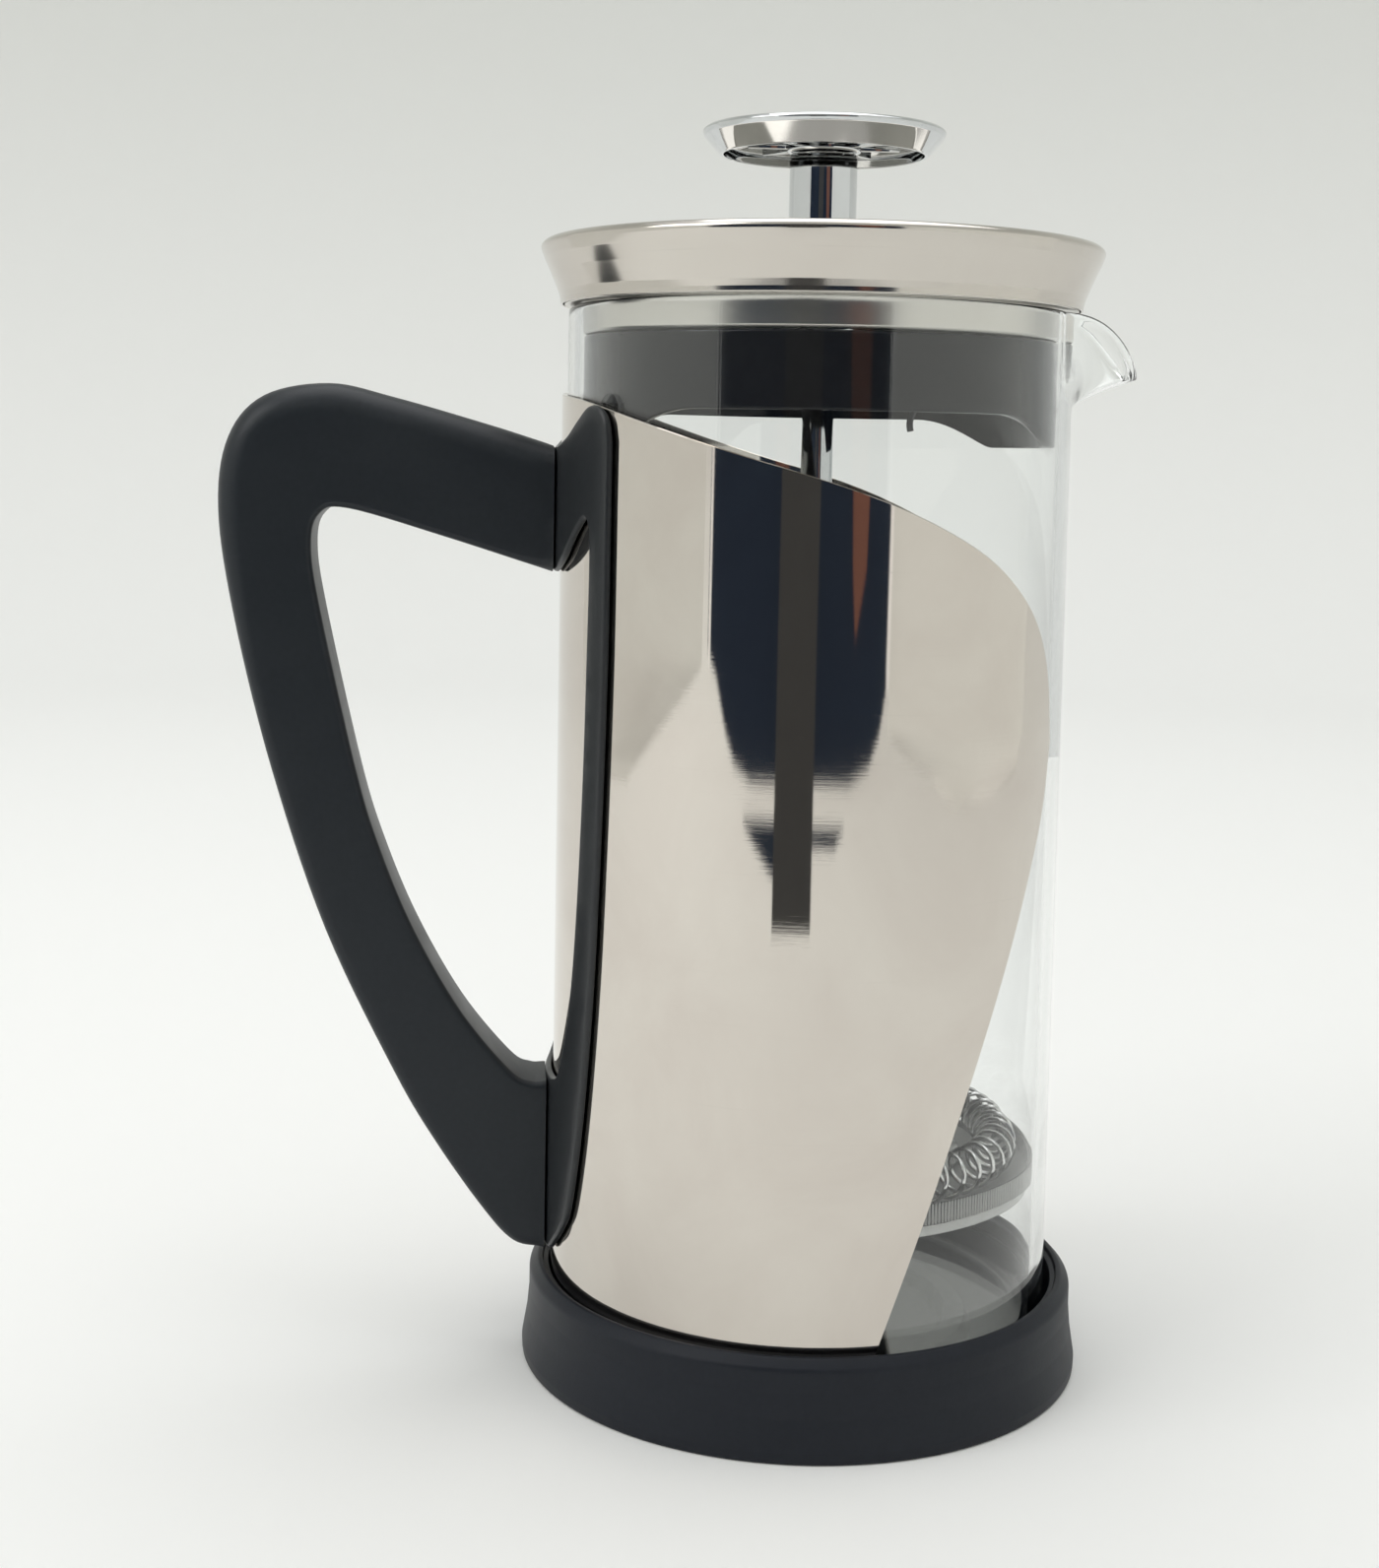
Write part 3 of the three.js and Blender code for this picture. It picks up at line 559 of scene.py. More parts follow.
class Finish:
    """A material with one Principled shader, and helpers that feed it from the shared groups."""

    def __init__(self, name, colour, metallic=0.0, roughness=0.5, **constants):
        self.material = bpy.data.materials.new(name)
        self.material.use_nodes = True
        self.tree = self.material.node_tree
        self.shader = self.tree.nodes["Principled BSDF"]
        self.position = node(self.tree, "ShaderNodeTexCoord").outputs["Object"]
        values = {"Base Color": (*colour, 1), "Metallic": metallic, "Roughness": roughness}
        values.update({label.replace("_", " "): value for label, value in constants.items()})
        for label, value in values.items():
            self.shader.inputs[label].default_value = value

    def group(self, name, **values):
        """A shared group fed with Object coordinates and these values."""
        made = node(self.tree, "ShaderNodeGroup", node_tree=GROUPS[name])
        self.tree.links.new(self.position, made.inputs["Position"])
        for label, value in values.items():
            made.inputs[label.replace("_", " ").title()].default_value = value
        return made

    def feed(self, label, socket):
        self.tree.links.new(socket, self.shader.inputs[label])

    def mixed(self, mask, first, second):
        """A colour between two others by a mask; either may be another colour's socket."""
        mix = node(self.tree, "ShaderNodeMix", data_type="RGBA")
        self.tree.links.new(mask, mix.inputs[0])
        for place, colour in ((6, first), (7, second)):
            if isinstance(colour, bpy.types.NodeSocket):
                self.tree.links.new(colour, mix.inputs[place])
            else:
                mix.inputs[place].default_value = (*colour, 1)
        return mix.outputs[2]

    def between(self, mask, low, high):
        """A value that goes from low to high as the mask goes from 0 to 1."""
        made = node(self.tree, "ShaderNodeMapRange", {"Value": mask, "To Min": low, "To Max": high})
        return made.outputs[0]

    def bump(self, height, strength, distance):
        """Raises the surface by a height, over a distance in millimetres."""
        made = node(self.tree, "ShaderNodeBump", {"Height": height, "Strength": strength,
                                                  "Distance": distance * MM})
        self.feed("Normal", made.outputs[0])


def black_plastic(name, colour, roughness, grain, dust, gloss):
    """Black moulded plastic: grain in pits per metre, dust the share of grey on rubbed edges."""
    look = Finish(name, colour, roughness=roughness, IOR=1.5, Specular_IOR_Level=gloss)
    skin = look.group("grain", pits_per_metre=grain)
    wear = look.group("wear", start=0.535)
    wiped = look.group("smudges", patches_per_metre=28.0, spread=0.8)
    lighter = [c * 1.35 for c in colour]
    rubbed = (0.16, 0.16, 0.16)
    tone = look.mixed(look.between(skin.outputs["Tone"], 0.0, 1.0), colour, lighter)
    worn = look.mixed(sums(look.tree, "MULTIPLY", wear.outputs["Mask"], dust), tone, rubbed)
    look.feed("Base Color", worn)
    look.feed("Roughness", look.between(wiped.outputs["Mask"], roughness - 0.05, roughness + 0.06))
    look.bump(skin.outputs["Height"], 0.22, 0.05)
    return look.material


def steel(name, colour, roughness, lines, bump, tint):
    """Polished steel with level hairlines; tint is the colour of its faint patches."""
    look = Finish(name, colour, metallic=1.0, roughness=roughness)
    hair = look.group("hairlines", lines_per_metre=lines, length_share=0.012, contrast=1.0)
    wiped = look.group("smudges", patches_per_metre=30.0, spread=1.4)
    darker = [c * 0.7 for c in colour]
    stained = look.mixed(look.between(wiped.outputs["Mask"], 0.0, 0.6), colour, tint)
    scratched = look.mixed(look.between(hair.outputs["Mask"], 0.0, 0.12), stained, darker)
    look.feed("Base Color", scratched)
    rough = sums(look.tree, "ADD", look.between(wiped.outputs["Mask"], roughness, roughness + 0.03),
                 look.between(hair.outputs["Mask"], 0.0, 0.06))
    look.feed("Roughness", rough)
    look.bump(hair.outputs["Height"], bump, 0.02)
    return look.material


def chrome(name, colour, roughness):
    """Plated metal, a little smudged, and duller where its edges are rubbed."""
    look = Finish(name, colour, metallic=1.0, roughness=roughness)
    wiped = look.group("smudges", patches_per_metre=120.0, spread=1.0)
    wear = look.group("wear", start=0.56)
    duller = [c * 0.9 for c in colour]
    look.feed("Base Color", look.mixed(wear.outputs["Mask"], colour, duller))
    look.feed("Roughness", look.between(wiped.outputs["Mask"], roughness, roughness + 0.05))
    return look.material


def woven_steel(name, valley, crest):
    """Woven wire, with painted shade in the gaps between its threads. Past the valley's radius it is a
    band whose pleats have painted shade between crests and painted light on them.
    """
    look = Finish(name, (0.42, 0.42, 0.41), metallic=1.0, roughness=0.34)
    weave = look.group("weave", threads_per_metre=3600.0)
    # Painted shade: the gap colour darkens the valleys between the threads.
    painted_gap_shade, thread = (0.06, 0.06, 0.06), (0.5, 0.5, 0.49)
    # Painted shade in the pleats' valleys and painted light on their crests.
    shade, lit = (0.01, 0.01, 0.01), (0.36, 0.36, 0.35)
    wires = look.mixed(weave.outputs["Mask"], painted_gap_shade, thread)
    parts = node(look.tree, "ShaderNodeSeparateXYZ", {0: look.position})
    flat = node(look.tree, "ShaderNodeCombineXYZ", {0: parts.outputs[0], 1: parts.outputs[1]})
    length = node(look.tree, "ShaderNodeVectorMath", {0: flat}, operation="LENGTH")
    radius = length.outputs["Value"]
    band = sums(look.tree, "GREATER_THAN", radius, (valley - 0.05) * MM)
    ridge = node(look.tree, "ShaderNodeMapRange", {
        "Value": radius, "From Min": valley * MM, "From Max": crest * MM,
    })
    pleats = look.mixed(ridge.outputs[0], shade, lit)
    look.feed("Base Color", look.mixed(band, wires, pleats))
    look.bump(weave.outputs["Height"], 0.6, 0.08)
    return look.material


def clear_glass(name):
    """Glass that lets lamp light through, with the faint waves of a blown wall."""
    look = Finish(name, (0.985, 0.995, 0.992), roughness=0.0, IOR=1.474, Transmission_Weight=1.0)
    waves = look.group("smudges", patches_per_metre=14.0, spread=2.0)
    look.bump(waves.outputs["Mask"], 0.05, 0.06)
    path = node(look.tree, "ShaderNodeLightPath")
    open_way = node(look.tree, "ShaderNodeBsdfTransparent", {"Color": (0.93, 0.95, 0.945, 1)})
    mix = node(look.tree, "ShaderNodeMixShader", {0: path.outputs["Is Shadow Ray"], 1: look.shader,
                                                  2: open_way})
    output = look.tree.nodes["Material Output"]
    look.tree.links.new(mix.outputs[0], output.inputs["Surface"])
    return look.material


BASE_PLASTIC = black_plastic("satin_black_base", (0.010, 0.012, 0.017),
                             roughness=0.46, grain=2600.0, dust=0.5, gloss=0.22)
GRIP_PLASTIC = black_plastic("satin_black_grip", (0.013, 0.016, 0.020),
                             roughness=0.40, grain=2200.0, dust=0.35, gloss=0.28)
# A glossier copy of the grip's plastic whose lighter colour is painted light, for the extra light the
# wing shows.
SHIELD_PLASTIC_PAINTED_LIGHTER = black_plastic("satin_black_shield", (0.017, 0.019, 0.021),
                               roughness=0.34, grain=2200.0, dust=0.35, gloss=0.4)
SKIRT_PLASTIC = black_plastic("gloss_black_skirt", (0.017, 0.017, 0.018),
                              roughness=0.12, grain=1200.0, dust=0.3, gloss=0.28)
SLEEVE_STEEL = steel("polished_sleeve_steel", (0.67, 0.63, 0.575),
                     roughness=0.03, lines=2600.0, bump=0.10, tint=(0.54, 0.48, 0.435))
LID_STEEL = steel("spun_lid_steel", (0.62, 0.59, 0.54),
                  roughness=0.12, lines=1800.0, bump=0.14, tint=(0.54, 0.49, 0.45))
NECK_STEEL = steel("drawn_neck_steel", (0.70, 0.68, 0.635),
                   roughness=0.27, lines=1500.0, bump=0.25, tint=(0.64, 0.61, 0.57))
PLATE_STEEL = steel("pressed_plate_steel", (0.42, 0.42, 0.41),
                    roughness=0.22, lines=1500.0, bump=0.2, tint=(0.36, 0.36, 0.35))
BRIGHT_CHROME = chrome("bright_chrome", (0.62, 0.635, 0.64), roughness=0.03)
SPRING_STEEL = chrome("spring_wire", (0.72, 0.72, 0.71), roughness=0.14)
SCREW_ZINC = chrome("zinc_screw", (0.60, 0.61, 0.62), roughness=0.24)
GLASS = clear_glass("clear_beaker_glass")


def place(piece, finish, *nodes):
    """The piece stands for these CAD nodes: it takes the finish and rides on their body, and the nodes
    are hidden.
    """
    piece.data.materials.clear()
    piece.data.materials.append(finish)
    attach(piece, BODY_OF[nodes[0]])
    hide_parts(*nodes)
    return piece


# ---------------------------------------------------------------- base and sleeve

BASE_RADIUS, _, BASE_TOP = extent("base_ring")
SLEEVE_RADIUS, SLEEVE_FOOT, SLEEVE_TOP = extent("steel_sleeve")
BEAKER_RADIUS, BEAKER_FOOT, BEAKER_RIM = extent("glass_beaker")
SLEEVE_TURN = -8                 # set round from the handle, degrees
SLEEVE_NOSE = 153.5              # how far each wing wraps round, degrees
SLEEVE_SHEET = 0.7
CUT_START = 101                  # the angle where the sleeve's lower edge leaves its foot
FLOOR_TOP = 4                    # inside the base
FLOOR_HOLLOW = 1.2               # height of the hollow ring in the base's underside
SEAT_TOP = BEAKER_FOOT - GAP     # the ridge under the beaker
SEAT_RADIUS = 30


def on_sleeve(share):
    """A height on the sleeve: 0 at the top of the base, 1 at the sleeve's top edge."""
    return BASE_TOP + share * (SLEEVE_TOP - BASE_TOP)


def sleeve_edges():
    """The sleeve's upper and lower edges on one side; they meet at its nose."""
    upper = edge_line(*((angle, on_sleeve(share)) for angle, share in (
        (0, 1), (35, 0.984), (77, 0.93), (104, 0.889), (126, 0.839), (139, 0.793), (147, 0.748),
        (151.6, 0.695), (SLEEVE_NOSE, 0.629))))
    lower = edge_line((CUT_START, SLEEVE_FOOT), *((angle, on_sleeve(share)) for angle, share in (
        (112.6, 0.075), (128, 0.277), (144.4, 0.477), (150.6, 0.557), (SLEEVE_NOSE, 0.629))))
    return upper, lower


def make_base():
    """The base's section: its underside, up its flared outside, over the lip and back inside."""
    wall = SLEEVE_RADIUS + 1.9
    lip = SLEEVE_RADIUS + GAP
    shoulder = BASE_RADIUS - 1.3
    outline = rounded(
        (0, 0), (SEAT_RADIUS, 0, 0.5), (SEAT_RADIUS + 1, FLOOR_HOLLOW, 0.5),
        (wall - 3, FLOOR_HOLLOW, 0.5), (wall - 2, 0, 0.4), (BASE_RADIUS - 0.1, 0, 0.7),
        (BASE_RADIUS, 2.2, 1.5), (BASE_RADIUS - 0.9, 7.6, 3), (shoulder, 12.2, 1.2),
        (shoulder, BASE_TOP - 1.8, 1.6), (lip + 2.0, BASE_TOP, 1.8), (lip + 1.2, BASE_TOP - 0.1, 0.3),
        (lip + 1.0, BASE_TOP - 0.9, 0.3), (lip, BASE_TOP - 1.1, 0.3), (lip, BASE_TOP - 4, 0.5),
        (wall, BASE_TOP - 5.5, 0.5), (wall, FLOOR_TOP, 1), (SEAT_RADIUS + 4, FLOOR_TOP, 0.6),
        (SEAT_RADIUS + 3, SEAT_TOP, 0.4), (SEAT_RADIUS - 1, SEAT_TOP, 0.4),
        (SEAT_RADIUS - 2, FLOOR_TOP, 0.6), (0, FLOOR_TOP),
    )
    place(turned("base_moulding", outline, sharp=50), BASE_PLASTIC, "base_ring")


def make_sleeve():
    """The sheet that wraps round the beaker, with its foot tabs bent in."""
    upper, lower = sleeve_edges()
    bend = 12                    # the last degrees before the nose, in closer steps
    steps = [math.sin(math.radians(t)) for t in spread(0, 90, 14)]
    wing = [SLEEVE_NOSE - bend + bend * step for step in steps]
    middle = spread(-(SLEEVE_NOSE - bend), SLEEVE_NOSE - bend, 188)[1:-1]
    angles = [-a for a in reversed(wing)] + middle + wing
    inner, outer = SLEEVE_RADIUS - SLEEVE_SHEET, SLEEVE_RADIUS
    soft = 0.12                  # chamfer of the sheet's edges
    columns = []
    for angle in angles:
        low = SLEEVE_FOOT if abs(angle) < CUT_START else lower(abs(angle))
        high = max(upper(abs(angle)), low + 2.5 * soft)
        turn = angle + SLEEVE_TURN
        section = [(outer, low + soft)] + [(outer, low + (high - low) * i / 6) for i in range(1, 6)]
        section += [(outer, high - soft), (outer - soft, high)]
        section += [(inner + soft, high), (inner, high - soft)]
        section += [(inner, low + (high - low) * i / 6) for i in range(5, 0, -1)]
        section += [(inner, low + soft), (inner + soft, low), (outer - soft, low)]
        columns.append([around(turn, radius, height) for radius, height in section])
    sleeve = lofted("wrap_sleeve", columns, closed=False, sharp=30)
    tabs = []
    tab_end, tab_root = inner - 9, outer - 0.1
    tab_top = SLEEVE_FOOT + SLEEVE_SHEET
    section = ((tab_end, SLEEVE_FOOT), (tab_root, SLEEVE_FOOT), (tab_root, tab_top), (tab_end, tab_top))
    for angle in (-80, 0, 80):
        tab = [[around(angle + SLEEVE_TURN + step, radius, height) for radius, height in section]
               for step in spread(-6, 6, 8)]
        tabs.append(lofted("tab", tab, closed=False))
    place(joined(sleeve, *tabs), SLEEVE_STEEL, "steel_sleeve")


# ---------------------------------------------------------------- handle

FRAME_RADIUS = -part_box("handle_frame")[0].x / MM
GRIP_ROOT = FRAME_RADIUS + GAP
GRIP_WIDTH = 2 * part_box("handle_grip")[1].y / MM
FRAME_SHEET = 1.2
FRAME_HALF = 34.8                # half the angle that the frame spans
WINDOW_HALF = 28                 # half the angle of its window


def frame_loops():
    """The frame's outline and its window, unrolled: across is the arc's length, up the height."""
    arc = math.radians(1) * FRAME_RADIUS

    def side(points):
        return [Vector((angle * arc, on_sleeve(share))) for angle, share in points]

    def whole(half):
        return half + [Vector((-p.x, p.y)) for p in reversed(half[1:-1])]

    top = side(((0, 0.939), (8, 0.941), (16, 0.951), (22, 0.968), (26.5, 0.9815), (30.5, 0.981),
                (33.6, 0.968), (FRAME_HALF, 0.945)))
    leg = side(((FRAME_HALF, 0.945), (34.7, 0.877), (34.4, 0.698), (33, 0.507), (30.9, 0.336),
                (27.3, 0.189), (23, 0.097), (19, 0.065), (14, 0.042), (9, 0.026), (0, 0.023)))
    sill = side(((0, 0.226), (12, 0.229), (17, 0.252), (21.8, 0.325), (24.6, 0.429), (26.6, 0.578),
                 (27.6, 0.728), (WINDOW_HALF, 0.811), (27.9, 0.85)))
    lintel = side(((27.9, 0.85), (26, 0.862), (22, 0.848), (14, 0.815), (6, 0.8), (0, 0.799)))
    outer = spline(top, 6)[:-1] + spline(leg, 8)
    window = spline(sill, 8)[:-1] + spline(lintel, 6)
    return [whole(outer), whole(window)]


def make_frame():
    """The shield-shaped frame bent round the sleeve, its front edges rounded."""
    back, front = FRAME_RADIUS - FRAME_SHEET, FRAME_RADIUS - PARTING
    arc = math.radians(1) * FRAME_RADIUS

    def rings(*_):
        edge, chamfer = 0.8, 0.15
        steps = [(edge * (1 - math.cos(t)), front - edge + edge * math.sin(t))
                 for t in spread(0, math.pi / 2, 5)]
        return [(chamfer, back), (0, back + chamfer)] + steps

    plate = padded_plate("handle_shield", frame_loops(), rings,
                         lambda across, up, depth: around(across / arc, depth, up), spacing=2.2)
    place(plate, SHIELD_PLASTIC_PAINTED_LIGHTER, "handle_frame")


def grip_outline():
    """The grip's outline in its own plane: across is the distance from the axis."""
    def through(steps, *points):
        return spline([Vector((GRIP_ROOT + reach, on_sleeve(share))) for reach, share in points], steps)

    back = through(
        7, (-0.4, 0.9395), (11.5, 0.961), (29.5, 0.990), (41.5, 1.004), (53.5, 0.989), (60.0, 0.943),
        (61.75, 0.865), (58.9, 0.750), (51.5, 0.572), (41.5, 0.393), (28.7, 0.232), (20.9, 0.151),
        (11.5, 0.070), (5.5, 0.031), (-0.4, 0.023))
    hole = through(
        7, (-0.4, 0.219), (2.5, 0.219), (6.5, 0.232), (15.9, 0.300), (24.7, 0.392), (31.1, 0.483),
        (35.7, 0.572), (42.5, 0.751), (44.3, 0.823), (42.9, 0.859), (37.5, 0.866), (19.5, 0.836),
        (-0.4, 0.799))
    return back, hole


def make_grip():
    """The loop handle, rounded all along its edges and hollowed where it meets the frame."""
    back, hole = grip_outline()
    outline = back + hole
    half = GRIP_WIDTH / 2 - PARTING
    top = max(point.y for point in back)
    in_hole, on_leg, extra_on_arm = 1.2, 2.4, 3.2

    def fillet(i):
        """Wide over the top of the arm and the shoulder, narrow down the leg and inside the loop."""
        if i >= len(back):
            return in_hole
        drop = (top - back[i].y) / (top - BASE_TOP)
        return on_leg + extra_on_arm * max(0.0, 1 - drop * 3.2) ** 0.7

    widths = [fillet(i) for i in range(len(outline))]
    for _ in range(4):
        widths = [(before + here + after) / 3
                  for before, here, after in zip(widths[-1:] + widths, widths, widths[1:] + widths[:1])]

    def rings(_, i):
        edge = widths[i]
        rise = [(edge * (1 - math.cos(t)), half - edge + edge * math.sin(t))
                for t in spread(0, math.pi / 2, 7)]
        return [(inset, -depth) for inset, depth in reversed(rise)] + rise

    grip = padded_plate("loop_grip", [outline], rings,
                        lambda across, up, depth: Vector((-across, depth, up)), spacing=3.0, sharp=50,
                        square={0: (0, -1), len(back) - 1: (0, 1), len(back): (0, -1), -1: (0, 1)})
    for vertex in grip.data.vertices:
        flat = Vector((vertex.co.x, vertex.co.y))
        if flat.length < GRIP_ROOT * MM:
            vertex.co.x = -math.sqrt((GRIP_ROOT * MM) ** 2 - vertex.co.y ** 2)
    place(grip, GRIP_PLASTIC, "handle_grip")


def cross_recess(height):
    """The two slots of a driver's cross recess, at the axis and reaching either side of a height."""
    arm, half, low, high = 1.5, 0.35, height - 0.8, height + 1
    return [box_piece("recess", (-x, -y, low), (x, y, high)) for x, y in ((arm, half), (half, arm))]


def make_screw(name, outline, top, stand, node_name):
    """A screw turned from its outline, with a cross recess at its top, moved by stand to its place."""
    screw = turned(name, outline, 32)
    for recess in cross_recess(top):
        cut_away(screw, recess)
    screw.data.transform(stand)
    place(screw, SCREW_ZINC, node_name)


def make_screws():
    """Two screws that lie along the handle, and three that stand in the base."""
    shank = 1.4
    for node_name in ("handle_screw_upper", "handle_screw_lower"):
        low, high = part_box(node_name)
        head = (high.z - low.z) / 2 / MM
        height = (high.z + low.z) / 2
        inner, tip = -high.x / MM, -low.x / MM
        outline = rounded((0, inner), (head, inner, 0.2), (head, inner + 1.1, 0.2),
                          (shank, inner + 2.4, 0.3), (shank, tip, 0.3), (0, tip))
        stand = Matrix.Translation((0, 0, height)) @ Matrix.Rotation(math.radians(-90), 4, "Y")
        make_screw(node_name.replace("handle", "grip"), outline, inner, stand, node_name)
    for number in (1, 2, 3):
        low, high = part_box(f"base_screw_{number}")
        middle = (low + high) / 2
        foot, top = low.z / MM, high.z / MM
        head = 2.6
        outline = rounded((0, foot), (shank, foot + 0.5, 0.3), (shank, top - 1.2, 0.1),
                          (head, top - 1.2, 0.1), (head, top - 0.5, 0.4), (head - 1, top, 0.4), (0, top))
        stand = Matrix.Translation((middle.x, middle.y, 0))
        make_screw(f"foot_screw_{number}", outline, top, stand, f"base_screw_{number}")


# ---------------------------------------------------------------- beaker

BEAKER_WALL = 2.2
BEAKER_CORNER = 6                # radius between the wall and the floor
RIM_RISE = 1.1                   # height of the rounded rim
SPOUT_HEIGHT = 18.6              # how far below the rim the spout starts
SPOUT_DROP = 10.5                # how far its tip lies below the rim
SPOUT_CURL = 2.4                 # above 1, only the spout's middle turns down that far
SPOUT_HALF = 27                  # half the angle that it spans
SPOUT_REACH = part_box("glass_beaker")[1].x / MM - BEAKER_RADIUS


def spout_share(angle):
    """0 on the plain wall, 1 in the middle of the spout."""
    away = abs(angle - 180) / SPOUT_HALF
    return 0.0 if away >= 1 else math.cos(away * math.pi / 2) ** 2


def wall_line(radius, foot, corner, share):
    """One wall surface of the beaker at one angle, from the floor's edge to the rim."""
    rim = BEAKER_RIM - RIM_RISE - SPOUT_DROP * share ** SPOUT_CURL
    start = BEAKER_RIM - SPOUT_HEIGHT
    line = [(radius - corner + corner * math.sin(t), foot + corner - corner * math.cos(t))
            for t in spread(0, math.pi / 2, 8)]
    line += [(radius, height) for height in spread(foot + corner, start, 6)[1:-1]]
    for s in spread(0, 1, 14):
        line.append((radius + SPOUT_REACH * share * s ** 1.7, start + (rim - start) * s))
    return line


def make_beaker():
    """The beaker as one closed skin: its outer wall, its rim and its inner wall, at every angle."""
    inner = BEAKER_RADIUS - BEAKER_WALL
    floor = BEAKER_FOOT + 3.2
    bead = 0.3                   # the floor's rise to its middle
    angles = spread(0, 148, 74) + spread(149, 211, 62) + spread(212, 358, 73)
    columns = []
    for angle in angles:
        share = spout_share(angle)
        thin = 0.5 * share       # the wall is thinner in the spout
        outer_line = wall_line(BEAKER_RADIUS - PARTING, BEAKER_FOOT, BEAKER_CORNER, share)
        inner_line = wall_line(inner + thin, floor, BEAKER_CORNER - BEAKER_WALL, share)
        (r0, z0), (r1, z1) = outer_line[-1], inner_line[-1]
        middle, reach, rise = (r0 + r1) / 2, (r0 - r1) / 2, RIM_RISE - PARTING
        rim = [(middle + reach * math.cos(t), (z0 + z1) / 2 + rise * math.sin(t))
               for t in spread(0, math.pi, 10)[1:-1]]
        line = outer_line + rim + inner_line[::-1]
        columns.append([around(angle, radius, height) for radius, height in line])
    rows = len(columns[0])
    points = [point for column in columns for point in column]
    points += [(0, 0, BEAKER_FOOT + bead), (0, 0, floor + bead)]
    faces = []
    under, over = len(points) - 2, len(points) - 1
    for i in range(len(columns)):
        here, there = i * rows, (i + 1) % len(columns) * rows
        faces += [(under, here, there), (over, there + rows - 1, here + rows - 1)]
        faces += [(here + row, here + row + 1, there + row + 1, there + row) for row in range(rows - 1)]
    place(new_piece("spouted_beaker", points, faces, sharp=60), GLASS, "glass_beaker")


# ---------------------------------------------------------------- lid

LID_RADIUS, LID_FOOT, LID_TOP = extent("lid_shell")
LID_FOOT_RADIUS = BEAKER_RADIUS + 1.9
NECK_RADIUS = BEAKER_RADIUS - BEAKER_WALL - 0.6
SKIRT_RADIUS, SKIRT_FOOT, SKIRT_TOP = extent("lid_skirt")
BUSH_RADIUS, BUSH_FOOT, BUSH_TOP = extent("rod_bush")
ROD_RADIUS, ROD_FOOT, ROD_TOP = extent("plunger_rod")
LID_SHEET = 0.8
LID_HOLE = ROD_RADIUS + 3.5      # in the lid and its core, for the bush
ROD_HOLE = ROD_RADIUS + 0.15     # in what is threaded on the rod


def make_lid_shell():
    """The lid's skin: out over its top and flared rim, then back along its inner side."""
    foot, boss = LID_FOOT_RADIUS, BUSH_RADIUS + 2.6
    boss_top = LID_TOP - 0.8
    recess = LID_RADIUS - 9.2
    recess_top = LID_TOP - 4.5
    outline = rounded(
        (LID_HOLE, boss_top), (boss, boss_top, 1.2), (recess - 8, recess_top + 0.6, 3),
        (recess, recess_top, 1.5), (LID_RADIUS - 4.6, LID_TOP - 1.0, 1.2),
        (LID_RADIUS - 1.4, LID_TOP, 1.4), (LID_RADIUS, LID_TOP - 1.1, 1.2),
        (LID_RADIUS - 0.9, LID_TOP - 3.5, 2), (LID_RADIUS - 2.1, LID_TOP - 6.1, 3),
        (foot, LID_FOOT + 2.2, 2), (foot - 0.3, LID_FOOT + 0.9, 0.8), (foot - 0.4, LID_FOOT, 0.2),
        (foot - LID_SHEET, LID_FOOT, 0.3), (foot - LID_SHEET, LID_FOOT + 1.3, 0.4),
        (foot + 0.5 - LID_SHEET, LID_FOOT + 4.1, 1), (LID_RADIUS - 2.4, LID_TOP - 2.4, 0.6),
        (LID_RADIUS - 4.4, LID_TOP - 2.4, 0.8), (recess, recess_top - LID_SHEET, 1),
        (recess - 8, recess_top + 0.6 - LID_SHEET, 2), (boss, boss_top - LID_SHEET, 1),
        (LID_HOLE, boss_top - LID_SHEET), steps=8,
    )
    place(turned("lid_dish", outline, sharp=60), LID_STEEL, "lid_shell")


def make_lid_inside():
    """The neck band, the core, the bush that guides the rod, and the nut that holds it."""
    neck_foot, seat = SKIRT_TOP + GAP, LID_FOOT - 0.1
    seat_edge = LID_FOOT_RADIUS - LID_SHEET - GAP
    neck = rounded(
        (NECK_RADIUS - 0.5, neck_foot, 0.2), (NECK_RADIUS, neck_foot + 0.5, 0.4),
        (NECK_RADIUS, seat, 0.3), (seat_edge, seat, 0.2), (seat_edge, seat + LID_SHEET, 0.3),
        (NECK_RADIUS - LID_SHEET, seat + LID_SHEET, 1), (NECK_RADIUS - LID_SHEET, neck_foot, 0.2))
    place(turned("lid_neck_band", neck), NECK_STEEL, "lid_neck")

    core_radius, core_foot, core_top = extent("lid_core")
    core_rim = core_foot + 3
    core = rounded(
        (LID_HOLE, core_foot), (core_radius, core_foot, 0.5), (core_radius, core_rim, 0.5),
        (BUSH_RADIUS + 6.6, core_rim, 1.5), (BUSH_RADIUS + 1.6, core_top, 0.8), (LID_HOLE, core_top))
    place(turned("lid_core_disc", core), SKIRT_PLASTIC, "lid_core")

    bore = ROD_RADIUS + 0.1
    flange = BUSH_TOP - 1.4
    body = ROD_RADIUS + 3.2
    bush = rounded(
        (bore, BUSH_FOOT, 0.2), (body, BUSH_FOOT, 0.5), (body, flange), (BUSH_RADIUS, flange, 0.2),
        (BUSH_RADIUS - 0.4, BUSH_TOP, 0.6), (bore, BUSH_TOP, 0.3))
    place(turned("guide_bush", bush, 96), BRIGHT_CHROME, "rod_bush")

    nut = hex_nut("bush_hex_nut", body + 2.8, body + 0.15, *heights("bush_nut"))
    place(nut, BRIGHT_CHROME, "bush_nut")


